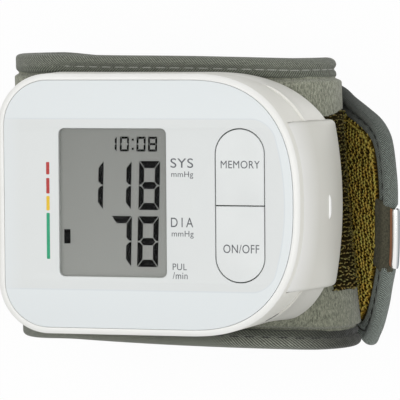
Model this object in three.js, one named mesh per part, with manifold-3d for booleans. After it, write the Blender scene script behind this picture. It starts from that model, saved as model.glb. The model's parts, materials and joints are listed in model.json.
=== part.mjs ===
// Wrist blood pressure monitor: a flared two-shell housing with a display and two keys,
// seated on a rolled cuff whose free end, the tongue, hooks back on the outside of the roll.
// Millimetres. +X runs right across the display, +Y along the wrist, +Z out of the display.
// The origin is the middle of the flat underside of the rolled cuff.
import * as THREE from "three";
import { mergeVertices } from "three/addons/utils/BufferGeometryUtils.js";
import Module from "manifold-3d";

// Fits
const GAP = 0.3; // between neighbouring pieces
const MERGE = 0.6; // how far a rib or boss sinks into the wall that carries it
const FAR = 200; // past everything, for cuts
const PAST = 1; // how far a cut runs past the face that it opens
const ROUND_SIDES = 20;
const SMOOTH_SIDES = 24;

// Cuff roll, measured on its outer surface
const CUFF_WIDTH = 81;
const ROLL_HEIGHT = 57;
const SADDLE_RADIUS = 150; // the gentle top that the housing sits on
const RIGHT_REACH = 46;
const RIGHT_RADIUS = 18;
const LEFT_REACH = 52;
const LEFT_RADIUS = 22;
const SHORT_END_ANGLE = 75; // degrees below the right-hand side
const TURN_RADIUS = 16;
const TONGUE_RISE = 50; // degrees
const TONGUE_CLEAR = 0.9; // between the tongue's inner side and the right-hand bend
const ARC_STEP = 9; // degrees between stations on a tight bend
const SADDLE_STEP = 3.3; // degrees between stations on the saddle
const UNDERSIDE_STEPS = 3;
const LEAST_STEP = 0.8; // stations closer than this are left out
const SADDLE_SPREAD = 24; // degrees of the saddle cut on either side of the middle
const SADDLE_CUT_STEPS = 36;

// Cuff layers, from the outside inwards
const VELOUR = 2.2;
const SHOULDER = 3; // the padded middle slopes down to its edge tapes
const CURLER = 0.8;
const BLADDER = 2.2;
const LINING = 1.2;
const BINDING_WIDTH = 5.5;
const BINDING_SINK = 1; // the edge tape lies lower than the padded middle
const BINDING_THICK = 4.6;
const CURLER_FROM = 9; // lengths along the roll from the short end
const CURLER_STOP = 26.7; // lengths from the hinge line
const BLADDER_FROM = 24;
const BLADDER_LENGTH = 152;
const BLADDER_WIDTH = 60;
const LINING_STOP = 23.7;
const HOOK_FROM_ANGLE = -10; // degrees round the right-hand bend
const HOOK_TO_ANGLE = 38;
const HOOK_TOP = 26;
const HOOK_BOTTOM = -25;
const HOOK_THICK = 1.3;

// Tongue, measured from its hinge line
const TONGUE_LENGTH = 49;
const TONGUE_TILT = 0.2; // how far its middle drops along Y for each millimetre
const TONGUE_TAPER = 0.19;
const TONGUE_ROUNDING = 8; // exponent of the rounded tip
const TONGUE_STEPS = 22;
const PAD_FROM = 4;
const PAD_THICK = 1.4;
const PAD_INSET = 0.8;
const PATCH_LENGTH = 11;
const PATCH_WIDTH = 21;
const PATCH_THICK = 0.9;
const CLIP_WIDTH = 17.4;
const CLIP_LENGTH = 5.2;
const CLIP_WALL = 0.7;

// Housing
const PANEL_LEFT = 42.3;
const PANEL_RIGHT = 40.6;
const PANEL_HALF = 34.3;
const PANEL_CORNER = 12.7;
const BOW_START = 10.6; // where the straight edges turn into the bowed right end
const BOW_EXPONENT = 2.5;
const BOW_STEPS = 26;
const CORNER_STEPS = 7;
const RIM = 1.8;
const RIGHT_FLARE = 0.2; // outward per millimetre of depth
const LEFT_FLARE = 0.15;
const PARTING_DEPTH = 13;
const PARTING_GAP = 0.2;
const SADDLE_DROP = 14; // the shells run this far below the saddle's crown before they are cut
const WALL = 1.8;
const REAR_WALL = 1.6;
const FRONT_WALL = 1.8;
const PANEL_THICK = 1.2;

// Display
const WINDOW_X = -10.8;
const WINDOW_Y = 0.5;
const WINDOW_WIDTH = 31.1;
const WINDOW_HEIGHT = 41.1;
const WINDOW_CORNER = 1.6;
const LENS_THICK = 1.05;
const LENS_SINK = 0.05; // below the panel face
const CORNER_ARC_STEPS = 5;
const GLASS_MARGIN = 1.1;
const GLASS_THICK = 1.8;
const HOLDER_WALL = 1.4;
const HOLDER_LEDGE = 1.4;
const ZEBRA_WIDTH = 2.4;

// Keys
const KEY_INSET = 14.9; // from the panel's right end to the keys' middle line
const KEY_WIDTH = 13.6;
const KEYS_HEIGHT = 41.8;
const KEY_TRAVEL = 0.6;
const KEY_EAR = 0.8; // reach of the ear that keeps a key in
const KEY_EAR_THICK = 1;
const STEM_INSET = 3.1; // from the keys' middle line
const CAPSULE_STEPS = 14;
const STEM_RADIUS = 2;
const SWITCH_SIZE = 6;
const SWITCH_HEIGHT = 1.3;

// Main board and what it carries
const BOARD_THICK = 1.6;
const BOARD_DEPTH = 8.7; // panel face to the board's upper side
const BOARD_LEFT_INSET = 13.7; // from the panel's left end
const BOARD_SCREW_INSETS = [4.6, 12]; // from the board's left and right ends
const BOARD_SCREW_CLEAR = 3.25; // from the display holder's edge to a screw's middle
const BOARD_SCREW_EDGE = 2.8; // from a screw's middle to the board's long edge
const CHIP_SIZE = 10;
const CHIP_HEIGHT = 1.4;
const BUZZER_RADIUS = 4.5;
const BUZZER_HEIGHT = 3.2;
const BUZZER_PLACE = [16, -14];
const SENSOR_SIZE = 9;
const SENSOR_HEIGHT = 3.4;

// Air path
const PUMP_INSET = 6.3; // from the panel's left end
const PUMP_DEPTH = 13.4; // panel face to the pump's axis
const PUMP_RADIUS = 5.8;
const PUMP_CLEAR = 1.3; // from the lower left screw boss
const MOTOR_LENGTH = 18;
const PUMP_HEAD_LENGTH = 10;
const VALVE_RADIUS = 4.4;
const VALVE_LENGTH = 12;
const VALVE_CLEAR = 2; // from the pump head
const CRADLE_THICK = 1.4;
const CRADLE_INSET = 4; // from the motor's ends
const AIR_X = -20; // manifold, sensor and nipple share this line
const MANIFOLD_SIZE = 10;
const TUBE_RADIUS = 1.4;
const TUBE_STRAIGHT = 2; // length that leaves a port squarely
const TUBE_STEPS = 10;
const PORT_RISE = 2.2; // above the manifold's foot
const NIPPLE_RADIUS = 2.2;
const NIPPLE_BORE = 0.9;
const NIPPLE_ENTRY = 2; // depth of its socket in the manifold

// Battery bay
const CELL_RADIUS = 5.25;
const CELL_LENGTH = 44.5;
const CELL_NUB = 1.2;
const NUB_RADIUS = 1.9;
const CELL_CLEAR = 0.1; // between the cells, and to the rear wall
const LOWER_CELL_INSET = 5.1; // from the panel's right end
const UPPER_CELL_INSET = 7.7;
const BAY_Y = -0.3;
const BAY_WALL = 1;
const BAY_WALL_TOP = 5; // depth of the bay walls' upper edge
const CONTACT_THICK = 0.4;
const CONTACT_WIDTH = 3.2;
const SPRING_LENGTH = 2.9;
const SPRING_RADIUS = 1.8;
const SPRING_WIRE = 0.3;
const SPRING_TURNS = 2;
const SPRING_TURN_STEPS = 8;
const SPRING_SIDES = 5;

// Battery door
const DOOR_EASE = 2.1; // the door is this much longer than a cell
const DOOR_Y = -0.6;
const DOOR_INSET = 10.6; // from the panel's right end to where its opening starts
const DOOR_TOP_DEPTH = 3;
const DOOR_WALL = 1.5;
const DOOR_BACK_DEPTH = 30; // where the next two are measured
const DOOR_BACK_REACH = 6.4; // past the panel's right end
const DOOR_BACK_BOW = 1.5; // how far its ends fall back from its middle
const DOOR_STEPS = 12;
const GRIP_DEPTH = 20.6;
const GRIP_LENGTH = 7;
const GRIP_WIDTH = 1;
const GRIP_PROUD = 0.6;

// Fasteners
const SCREW_RADIUS = 1.1;
const SCREW_HEAD_RADIUS = 2.1;
const SCREW_HEAD_HEIGHT = 1.5;
const BOSS_WALL = 1.3;
const SLOT_LENGTH = 2.4;
const SLOT_WIDTH = 0.6;
const SLOT_DEPTH = 0.6;
const LEFT_SCREW_INSET = [5.8, 6.3]; // from the panel's left end and its long edges
const RIGHT_SCREW_INSET = [16.6, 3.8];
const CASE_SCREW_SEAT = 1.5; // height of the shoulder under the head, above the saddle's crown
const CASE_SCREW_TIP = 7.5; // depth of its tip under the panel face
const STUD_X = 8; // the curler's two studs that hold the cuff
const STUD_Y = 22;
const STUD_RADIUS = 2.8;
const STUD_RISE = 2.6; // above the saddle

// What follows from the sizes above

const RISE = THREE.MathUtils.degToRad(TONGUE_RISE);
const CUFF_HALF = CUFF_WIDTH / 2;
const LAYER_HALF = CUFF_HALF - BINDING_WIDTH - GAP;
const CURLER_TOP = VELOUR + GAP;
const BLADDER_TOP = CURLER_TOP + CURLER + GAP;
const LINING_TOP = BLADDER_TOP + BLADDER + GAP;

// The circles that the roll's outer surface is made of
const SADDLE_Z = ROLL_HEIGHT - SADDLE_RADIUS;
const RIGHT_TURN = Math.asin((RIGHT_REACH - RIGHT_RADIUS) / (SADDLE_RADIUS - RIGHT_RADIUS));
const LEFT_TURN = Math.asin((LEFT_REACH - LEFT_RADIUS) / (SADDLE_RADIUS - LEFT_RADIUS));
const RIGHT_MIDDLE_X = RIGHT_REACH - RIGHT_RADIUS;
const RIGHT_MIDDLE_Z = SADDLE_Z + (SADDLE_RADIUS - RIGHT_RADIUS) * Math.cos(RIGHT_TURN);
const LEFT_MIDDLE_X = LEFT_RADIUS - LEFT_REACH;
const LEFT_MIDDLE_Z = SADDLE_Z + (SADDLE_RADIUS - LEFT_RADIUS) * Math.cos(LEFT_TURN);
const LOW_RADIUS = LEFT_MIDDLE_Z; // so the left side lands on the flat underside
const BASE_LEFT = LOW_RADIUS - LEFT_REACH;

// The tongue's hinge line, placed so that the tongue passes the right-hand bend at its clearance
const TONGUE_TURN = TURN_RADIUS - VELOUR / 2;
const TONGUE_INNER = BINDING_THICK - VELOUR / 2;
const HINGE_Z = TURN_RADIUS - TONGUE_TURN * Math.cos(RISE);
const HINGE_PAST_BEND = RIGHT_RADIUS + TONGUE_CLEAR + TONGUE_INNER
  - Math.cos(RISE) * (RIGHT_MIDDLE_Z - HINGE_Z);
const HINGE_X = RIGHT_MIDDLE_X + HINGE_PAST_BEND / Math.sin(RISE);
const BASE_RIGHT = HINGE_X - TONGUE_TURN * Math.sin(RISE); // where the flat underside ends

// The housing's levels: two cells, one above the other, set its depth
const HOUSING_BACK = SADDLE_RADIUS + GAP;
const REAR_INNER = HOUSING_BACK + REAR_WALL;
const UPPER_CELL_X = PANEL_RIGHT - UPPER_CELL_INSET;
const LOWER_CELL_X = PANEL_RIGHT - LOWER_CELL_INSET;
const CELL_RISE = Math.sqrt((2 * CELL_RADIUS + CELL_CLEAR) ** 2 - (LOWER_CELL_X - UPPER_CELL_X) ** 2);
const LOWER_CELL_Z = saddleHeight(LOWER_CELL_X, REAR_INNER + CELL_RADIUS + CELL_CLEAR);
const UPPER_CELL_Z = LOWER_CELL_Z + CELL_RISE;
const FRONT_WALL_BOTTOM = UPPER_CELL_Z + CELL_RADIUS + GAP;
const FRONT_WALL_TOP = FRONT_WALL_BOTTOM + FRONT_WALL;
const PANEL_Z = FRONT_WALL_TOP + GAP + PANEL_THICK;
const SHELL_DEPTH = PANEL_Z - ROLL_HEIGHT + SADDLE_DROP;
const PARTING_Z = PANEL_Z - PARTING_DEPTH;

// Display and keys
const GLASS_WIDTH = WINDOW_WIDTH + 2 * GLASS_MARGIN;
const GLASS_HEIGHT = WINDOW_HEIGHT + 2 * GLASS_MARGIN;
const GLASS_BOTTOM = FRONT_WALL_TOP - GLASS_THICK;
const KEY_X = PANEL_RIGHT - KEY_INSET;
const KEY_MIDDLE = KEYS_HEIGHT / 4; // of each key, above and below the divider
const KEY_BOTTOM = FRONT_WALL_BOTTOM + KEY_TRAVEL;
const STEM_X = KEY_X - STEM_INSET;

// Battery bay and door
const BAY_LENGTH = CELL_LENGTH + SPRING_LENGTH + 2 * CONTACT_THICK + 5 * GAP;
const BAY_LOW = BAY_Y - BAY_LENGTH / 2;
const BAY_HIGH = BAY_Y + BAY_LENGTH / 2;
const BAY_LEFT = UPPER_CELL_X - CELL_RADIUS - GAP - BAY_WALL;
const DOOR_HEIGHT = CELL_LENGTH + DOOR_EASE;
const DOOR_FROM_X = PANEL_RIGHT - DOOR_INSET;

// Board, fasteners and air path
const BOSS_RADIUS = SCREW_RADIUS + GAP + BOSS_WALL;
const HEAD_BOSS_RADIUS = SCREW_HEAD_RADIUS + GAP + BOSS_WALL;
const CASE_SCREW_SEAT_Z = ROLL_HEIGHT + GAP + CASE_SCREW_SEAT;
const CASE_SCREW_TIP_Z = PANEL_Z - CASE_SCREW_TIP;
const LEFT_SCREW = [LEFT_SCREW_INSET[0] - PANEL_LEFT, PANEL_HALF - LEFT_SCREW_INSET[1]];
const RIGHT_SCREW = [PANEL_RIGHT - RIGHT_SCREW_INSET[0], PANEL_HALF - RIGHT_SCREW_INSET[1]];
const CASE_SCREWS = [LEFT_SCREW, RIGHT_SCREW].flatMap(([x, y]) => [[x, y], [x, -y]]);
const BOARD_TOP = PANEL_Z - BOARD_DEPTH;
const BOARD_BOTTOM = BOARD_TOP - BOARD_THICK;
const UNDER_BOARD = BOARD_BOTTOM - GAP;
const BOARD_LEFT = BOARD_LEFT_INSET - PANEL_LEFT;
const BOARD_RIGHT = BAY_LEFT - GAP;
const HOLDER_EDGE_Y = WINDOW_Y + GLASS_HEIGHT / 2 + HOLDER_WALL;
const BOARD_SCREW_Y = HOLDER_EDGE_Y + BOARD_SCREW_CLEAR;
const BOARD_HALF = BOARD_SCREW_Y + BOARD_SCREW_EDGE;
const BOARD_SCREWS = [BOARD_LEFT + BOARD_SCREW_INSETS[0], BOARD_RIGHT - BOARD_SCREW_INSETS[1]]
  .flatMap((x) => [[x, BOARD_SCREW_Y], [x, -BOARD_SCREW_Y]]);
const SWITCH_TOP = BOARD_TOP + GAP + SWITCH_HEIGHT;
const SENSOR_BOTTOM = UNDER_BOARD - SENSOR_HEIGHT;
const PUMP_X = PUMP_INSET - PANEL_LEFT;
const PUMP_Z = PANEL_Z - PUMP_DEPTH;
const PUMP_FROM = HEAD_BOSS_RADIUS + PUMP_CLEAR - LEFT_SCREW[1];
const PUMP_HEAD_FROM = PUMP_FROM + MOTOR_LENGTH + GAP;
const VALVE_FROM = PUMP_HEAD_FROM + PUMP_HEAD_LENGTH + VALVE_CLEAR;
const MANIFOLD_BOTTOM = saddleHeight(0, REAR_INNER) + GAP;
const STUD_TOP = ROLL_HEIGHT + STUD_RISE;

const FINISH = {
  caseWhite: { color: 0xe6e7e3, roughness: 0.38, metalness: 0 },
  doorWhite: { color: 0xe2e2dd, roughness: 0.42, metalness: 0 },
  panelWhite: { color: 0xe0e5e5, roughness: 0.3, metalness: 0 },
  lens: { color: 0xdfe3e0, roughness: 0.08, metalness: 0, transparent: true, opacity: 0.25 },
  displayGlass: { color: 0x8c8e88, roughness: 0.25, metalness: 0 },
  darkPlastic: { color: 0x2b2c2e, roughness: 0.6, metalness: 0 },
  boardGreen: { color: 0x1f5a35, roughness: 0.5, metalness: 0 },
  steel: { color: 0xc3c5c6, roughness: 0.35, metalness: 0.9 },
  cellSleeve: { color: 0x2f4d7a, roughness: 0.4, metalness: 0.3 },
  silicone: { color: 0xcfd2cf, roughness: 0.6, metalness: 0 },
  velour: { color: 0x80836f, roughness: 0.95, metalness: 0 },
  binding: { color: 0x676b62, roughness: 0.85, metalness: 0 },
  olive: { color: 0x5b5125, roughness: 0.95, metalness: 0 },
  darkFabric: { color: 0x41433a, roughness: 0.9, metalness: 0 },
  lining: { color: 0x6e7268, roughness: 0.85, metalness: 0 },
  curlerClear: { color: 0xb9bdbb, roughness: 0.5, metalness: 0 },
};

const wasm = await Module();
wasm.setup();

const monitor = new THREE.Group();
const tongue = new THREE.Group();
monitor.add(tongue);

// Solids

function solid(geometry) {
  const bare = geometry.clone();
  bare.deleteAttribute("normal");
  bare.deleteAttribute("uv");
  const merged = mergeVertices(bare, 1e-4);
  const mesh = new wasm.Mesh({
    numProp: 3,
    vertProperties: Float32Array.from(merged.attributes.position.array),
    triVerts: Uint32Array.from(merged.index.array),
  });
  return new wasm.Manifold(mesh);
}

function geometryOf(body) {
  const mesh = body.getMesh();
  const geometry = new THREE.BufferGeometry();
  geometry.setAttribute("position", new THREE.BufferAttribute(mesh.vertProperties, 3));
  geometry.setIndex(new THREE.BufferAttribute(mesh.triVerts, 1));
  geometry.computeVertexNormals();
  return geometry;
}

function add(name, body, finish, group = monitor) {
  const mesh = new THREE.Mesh(geometryOf(body), new THREE.MeshStandardMaterial(finish));
  mesh.name = name;
  group.add(mesh);
}

function join(bodies) {
  return bodies.reduce((all, body) => all.add(body));
}

// A box between two limits on each axis.
function block([x0, x1], [y0, y1], [z0, z1]) {
  const geometry = new THREE.BoxGeometry(x1 - x0, y1 - y0, z1 - z0);
  geometry.translate((x0 + x1) / 2, (y0 + y1) / 2, (z0 + z1) / 2);
  return solid(geometry);
}

// A round bar along Z between two levels.
function post(radius, x, y, [z0, z1]) {
  const geometry = new THREE.CylinderGeometry(radius, radius, z1 - z0, ROUND_SIDES);
  geometry.rotateX(Math.PI / 2);
  geometry.translate(x, y, (z0 + z1) / 2);
  return solid(geometry);
}

// A round bar along Y between two limits.
function bar(radius, x, z, [y0, y1], sides = ROUND_SIDES) {
  const geometry = new THREE.CylinderGeometry(radius, radius, y1 - y0, sides);
  geometry.translate(x, (y0 + y1) / 2, z);
  return solid(geometry);
}

// A flat outline of [x, y] points, thick along Z.
function plate(points, [z0, z1]) {
  const shape = new THREE.Shape(points.map(([x, y]) => new THREE.Vector2(x, y)));
  const geometry = new THREE.ExtrudeGeometry(shape, { depth: z1 - z0, bevelEnabled: false });
  geometry.translate(0, 0, z0);
  return solid(geometry);
}

// A closed body through rings of equal length. Its flat ends are filled in the plane that flatten gives.
function ringSolid(rings, flatten) {
  const count = rings[0].length;
  const last = (rings.length - 1) * count;
  const faces = [];
  for (let ring = 0; ring + 1 < rings.length; ring += 1) {
    for (let i = 0; i < count; i += 1) {
      const here = ring * count + i;
      const next = ring * count + ((i + 1) % count);
      faces.push(here, next, next + count, here, next + count, here + count);
    }
  }
  const end = rings[0].map((point) => flatten(point));
  for (const [a, b, c] of THREE.ShapeUtils.triangulateShape(end, [])) {
    faces.push(c, b, a, last + a, last + b, last + c);
  }
  const geometry = new THREE.BufferGeometry();
  geometry.setAttribute("position", new THREE.Float32BufferAttribute(rings.flat(2), 3));
  geometry.setIndex(faces);
  return solid(geometry);
}

const fromAbove = ([x, y]) => new THREE.Vector2(x, y);

// An outline of [x, z] points, running anticlockwise, carried along Y.
function alongWrist(points, [y0, y1]) {
  const rings = [y1, y0].map((y) => points.map(([x, z]) => [x, y, z]));
  return ringSolid(rings, ([x, y, z]) => new THREE.Vector2(x, z));
}

// Housing outline

// Rounded left corners, straight long edges and a bowed right end (a half superellipse).
function outline(left, right, half, corner) {
  const points = [];
  const bow = right - BOW_START;
  for (let i = 0; i <= BOW_STEPS; i += 1) {
    const t = -Math.PI / 2 + (Math.PI * i) / BOW_STEPS;
    const across = Math.abs(Math.cos(t)) ** (2 / BOW_EXPONENT);
    const up = Math.sign(Math.sin(t)) * Math.abs(Math.sin(t)) ** (2 / BOW_EXPONENT);
    points.push([BOW_START + bow * across, half * up]);
  }
  for (const turn of [1, 2]) {
    const middleY = turn === 1 ? half - corner : corner - half;
    for (let i = 0; i <= CORNER_STEPS; i += 1) {
      const t = (turn + i / CORNER_STEPS) * (Math.PI / 2);
      points.push([-left + corner + corner * Math.cos(t), middleY + corner * Math.sin(t)]);
    }
  }
  return points;
}

function panelOutline(grow) {
  return outline(PANEL_LEFT + grow, PANEL_RIGHT + grow, PANEL_HALF + grow, PANEL_CORNER + grow);
}

// The outside of the housing at a depth under the panel face, moved inwards by inset.
function shellOutline(depth, inset) {
  const grow = RIM - inset;
  return outline(
    PANEL_LEFT + grow + LEFT_FLARE * depth,
    PANEL_RIGHT + grow + RIGHT_FLARE * depth,
    PANEL_HALF + grow,
    PANEL_CORNER + grow,
  );
}

function shell(topDepth, bottomDepth, inset) {
  const rings = [bottomDepth, topDepth].map((depth) =>
    shellOutline(depth, inset).map(([x, y]) => [x, y, PANEL_Z - depth]));
  return ringSolid(rings, fromAbove);
}

// The height of a cylinder about the saddle's own axis.
function saddleHeight(x, radius) {
  return ROLL_HEIGHT - SADDLE_RADIUS + Math.sqrt(radius * radius - x * x);
}

// Everything under such a cylinder.
function underSaddle(radius) {
  const points = [];
  const spread = THREE.MathUtils.degToRad(SADDLE_SPREAD);
  for (let i = 0; i <= SADDLE_CUT_STEPS; i += 1) {
    const t = Math.PI / 2 - spread + (2 * spread * i) / SADDLE_CUT_STEPS;
    points.push([radius * Math.cos(t), SADDLE_Z + radius * Math.sin(t)]);
  }
  points.push([-FAR / 2, -FAR / 2], [FAR / 2, -FAR / 2]);
  return alongWrist(points, [-FAR / 2, FAR / 2]);
}

// The bowed right end's X at a height, for a given reach and half height.
function bowX(reach, half, y) {
  const across = (1 - (Math.abs(y) / half) ** BOW_EXPONENT) ** (1 / BOW_EXPONENT);
  return BOW_START + (reach - BOW_START) * across;
}

// The battery door's outside: it starts on the rim's bow and gets straighter towards the back.
function doorX(y, depth) {
  const front = bowX(PANEL_RIGHT + RIM, PANEL_HALF + RIM, y);
  const bow = DOOR_BACK_BOW * ((y - DOOR_Y) / (DOOR_HEIGHT / 2)) ** 2;
  const back = PANEL_RIGHT + DOOR_BACK_REACH - bow;
  return front + ((back - front) * depth) / DOOR_BACK_DEPTH;
}

// The space behind the door's outside, moved in by inset and shortened at both ends by trim.
function doorBlock(topDepth, inset, trim) {
  const half = DOOR_HEIGHT / 2 - trim;
  const rings = [SHELL_DEPTH, topDepth].map((depth) => {
    const ring = [];
    for (let i = 0; i <= DOOR_STEPS; i += 1) {
      const y = DOOR_Y - half + (2 * half * i) / DOOR_STEPS;
      ring.push([doorX(y, depth) - inset, y, PANEL_Z - depth]);
    }
    ring.push([DOOR_FROM_X, DOOR_Y + half, PANEL_Z - depth]);
    ring.push([DOOR_FROM_X, DOOR_Y - half, PANEL_Z - depth]);
    return ring;
  });
  return ringSolid(rings, fromAbove);
}

// The way out for the cells, and the room that the door's face takes up.
function doorOpening() {
  const bay = doorBlock(PANEL_Z - FRONT_WALL_BOTTOM, -WALL, -GAP).subtract(underSaddle(REAR_INNER));
  const behindFace = doorBlock(0, DOOR_WALL + GAP, -PAST);
  const face = doorBlock(DOOR_TOP_DEPTH - GAP, -WALL, -GAP).subtract(behindFace);
  return bay.add(face);
}

// Rounded rectangles and the keys' half capsules

function roundedRectangle(x, y, width, height, corner, steps = CORNER_ARC_STEPS) {
  const points = [];
  const signs = [[1, -1], [1, 1], [-1, 1], [-1, -1]];
  signs.forEach(([sx, sy], turn) => {
    for (let i = 0; i <= steps; i += 1) {
      const t = (turn - 1 + i / steps) * (Math.PI / 2);
      const middleX = x + sx * (width / 2 - corner);
      const middleY = y + sy * (height / 2 - corner);
      points.push([middleX + corner * Math.cos(t), middleY + corner * Math.sin(t)]);
    }
  });
  return points;
}

// One end of the capsule, side 1 above the divider and -1 below it.
function halfCapsule(side) {
  const radius = KEY_WIDTH / 2;
  const middle = side * (KEYS_HEIGHT / 2 - radius);
  const start = side === 1 ? 0 : Math.PI;
  const points = [];
  for (let i = 0; i <= CAPSULE_STEPS; i += 1) {
    const t = start + (Math.PI * i) / CAPSULE_STEPS;
    points.push([KEY_X + radius * Math.cos(t), middle + radius * Math.sin(t)]);
  }
  const divider = side * (GAP / 2);
  points.push([KEY_X - side * radius, divider], [KEY_X + side * radius, divider]);
  return points;
}

// The hole that both keys work in.
function keyHole() {
  const width = KEY_WIDTH + 2 * GAP;
  return roundedRectangle(KEY_X, 0, width, KEYS_HEIGHT + 2 * GAP, width / 2, CAPSULE_STEPS / 2);
}

// Housing pieces

function frontCase() {
  let body = shell(0, PARTING_DEPTH, 0);
  body = body.subtract(shell(PANEL_Z - FRONT_WALL_BOTTOM, PARTING_DEPTH + PAST, WALL));
  for (const [x, y] of CASE_SCREWS) {
    body = body.add(post(BOSS_RADIUS, x, y, [PARTING_Z + PARTING_GAP, FRONT_WALL_BOTTOM + MERGE]));
  }
  for (const [x, y] of BOARD_SCREWS) {
    body = body.add(post(BOSS_RADIUS, x, y, [BOARD_TOP + GAP, FRONT_WALL_BOTTOM + MERGE]));
  }
  for (const [x, y] of CASE_SCREWS) {
    body = body.subtract(post(SCREW_RADIUS + GAP, x, y, [PARTING_Z - PAST, CASE_SCREW_TIP_Z + GAP]));
  }
  for (const [x, y] of BOARD_SCREWS) {
    body = body.subtract(post(SCREW_RADIUS + GAP, x, y, [BOARD_TOP, FRONT_WALL_BOTTOM]));
  }
  body = body.intersect(shell(0, PARTING_DEPTH, 0));
  body = body.subtract(plate(panelOutline(GAP), [FRONT_WALL_TOP, PANEL_Z + PAST]));
  const glassHole = roundedRectangle(
    WINDOW_X, WINDOW_Y, GLASS_WIDTH + 2 * GAP, GLASS_HEIGHT + 2 * GAP, WINDOW_CORNER);
  body = body.subtract(plate(glassHole, [FRONT_WALL_BOTTOM - PAST, PANEL_Z]));
  body = body.subtract(plate(keyHole(), [FRONT_WALL_BOTTOM - PAST, PANEL_Z]));
  return body.subtract(doorOpening());
}

// A wall beside the cells and one at each end of them.
function bayWalls() {
  const levels = [0, PANEL_Z - BAY_WALL_TOP];
  const walls = join([
    block([BAY_LEFT, BAY_LEFT + BAY_WALL], [BAY_LOW - BAY_WALL, BAY_HIGH + BAY_WALL], levels),
    block([BAY_LEFT, FAR], [BAY_LOW - BAY_WALL, BAY_LOW], levels),
    block([BAY_LEFT, FAR], [BAY_HIGH, BAY_HIGH + BAY_WALL], levels),
  ]);
  return walls.intersect(shell(0, SHELL_DEPTH, WALL + GAP)).subtract(underSaddle(REAR_INNER - MERGE));
}

function rearCase() {
  const inner = shell(0, SHELL_DEPTH + PAST, WALL).subtract(underSaddle(REAR_INNER));
  const inside = shell(0, SHELL_DEPTH, WALL - MERGE);
  let body = shell(PARTING_DEPTH + PARTING_GAP, SHELL_DEPTH, 0).subtract(inner).subtract(doorOpening());
  body = body.add(bayWalls());
  for (const [x, y] of CASE_SCREWS) {
    body = body.add(post(HEAD_BOSS_RADIUS, x, y, [0, PARTING_Z - PARTING_GAP]).intersect(inside));
  }
  body = body.add(pumpCradles().intersect(inside));
  body = body.subtract(underSaddle(HOUSING_BACK));
  for (const [x, y] of CASE_SCREWS) {
    body = body.subtract(post(SCREW_RADIUS + GAP, x, y, [0, PARTING_Z]));
    body = body.subtract(post(SCREW_HEAD_RADIUS + GAP, x, y, [0, CASE_SCREW_SEAT_Z + GAP]));
  }
  for (const y of [STUD_Y, -STUD_Y]) {
    body = body.subtract(post(STUD_RADIUS + GAP, STUD_X, y, [0, STUD_TOP]));
  }
  return body.subtract(post(NIPPLE_RADIUS + GAP, AIR_X, 0, [0, MANIFOLD_BOTTOM]));
}

// Two upright ribs with round seats for the motor, and one for the valve.
function pumpCradles() {
  const width = PUMP_RADIUS + GAP;
  const seats = [
    [PUMP_FROM + CRADLE_INSET, PUMP_RADIUS],
    [PUMP_FROM + MOTOR_LENGTH - CRADLE_INSET, PUMP_RADIUS],
    [VALVE_FROM + VALVE_LENGTH / 2, VALVE_RADIUS],
  ];
  return join(seats.map(([y, radius]) => {
    const limits = [y - CRADLE_THICK / 2, y + CRADLE_THICK / 2];
    const rib = block([PUMP_X - width, PUMP_X + width], limits, [0, PUMP_Z]);
    return rib.subtract(bar(radius + GAP, PUMP_X, PUMP_Z, [y - CRADLE_THICK, y + CRADLE_THICK]));
  }));
}

function frontPanel() {
  const body = plate(panelOutline(0), [PANEL_Z - PANEL_THICK, PANEL_Z]);
  const window = roundedRectangle(WINDOW_X, WINDOW_Y, WINDOW_WIDTH, WINDOW_HEIGHT, WINDOW_CORNER);
  const through = [PANEL_Z - PANEL_THICK - PAST, PANEL_Z + PAST];
  return body.subtract(plate(window, through)).subtract(plate(keyHole(), through));
}

// A face plate with end walls where it stands proud of the case, and a rib to push it by.
function batteryDoor() {
  const whole = doorBlock(DOOR_TOP_DEPTH, 0, 0);
  const face = whole.subtract(doorBlock(0, DOOR_WALL, -PAST));
  const aroundCase = shell(0, SHELL_DEPTH + PAST, -GAP);
  const ends = whole.subtract(doorBlock(0, 0, DOOR_WALL)).subtract(aroundCase);
  const faceX = doorX(0, GRIP_DEPTH);
  const gripZ = PANEL_Z - GRIP_DEPTH;
  const grip = block(
    [faceX - DOOR_WALL / 2, faceX + GRIP_PROUD],
    [-GRIP_LENGTH / 2, GRIP_LENGTH / 2],
    [gripZ - GRIP_WIDTH / 2, gripZ + GRIP_WIDTH / 2],
  );
  return join([face, ends, grip]).subtract(underSaddle(HOUSING_BACK));
}

// A slotted screw whose head is at the bottom.
function screw(x, y, headTop, tip) {
  const headBottom = headTop - SCREW_HEAD_HEIGHT;
  const head = post(SCREW_HEAD_RADIUS, x, y, [headBottom, headTop]);
  const shank = post(SCREW_RADIUS, x, y, [headTop - MERGE, tip]);
  const slot = block(
    [x - SLOT_LENGTH / 2, x + SLOT_LENGTH / 2],
    [y - SLOT_WIDTH / 2, y + SLOT_WIDTH / 2],
    [headBottom - PAST, headBottom + SLOT_DEPTH],
  );
  return head.add(shank).subtract(slot);
}

add("front_case", frontCase(), FINISH.caseWhite);
add("rear_case", rearCase(), FINISH.caseWhite);
add("front_panel", frontPanel(), FINISH.panelWhite);
add("battery_door", batteryDoor(), FINISH.doorWhite);
CASE_SCREWS.forEach(([x, y], i) => {
  add(`case_screw_${i + 1}`, screw(x, y, CASE_SCREW_SEAT_Z, CASE_SCREW_TIP_Z), FINISH.steel);
});

// Display

function lens() {
  const points = roundedRectangle(
    WINDOW_X, WINDOW_Y, WINDOW_WIDTH - GAP, WINDOW_HEIGHT - GAP, WINDOW_CORNER - GAP / 2);
  return plate(points, [PANEL_Z - LENS_THICK, PANEL_Z - LENS_SINK]);
}

function displayGlass() {
  const points = roundedRectangle(WINDOW_X, WINDOW_Y, GLASS_WIDTH, GLASS_HEIGHT, WINDOW_CORNER);
  return plate(points, [GLASS_BOTTOM, FRONT_WALL_TOP - GAP / 2]);
}

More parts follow.
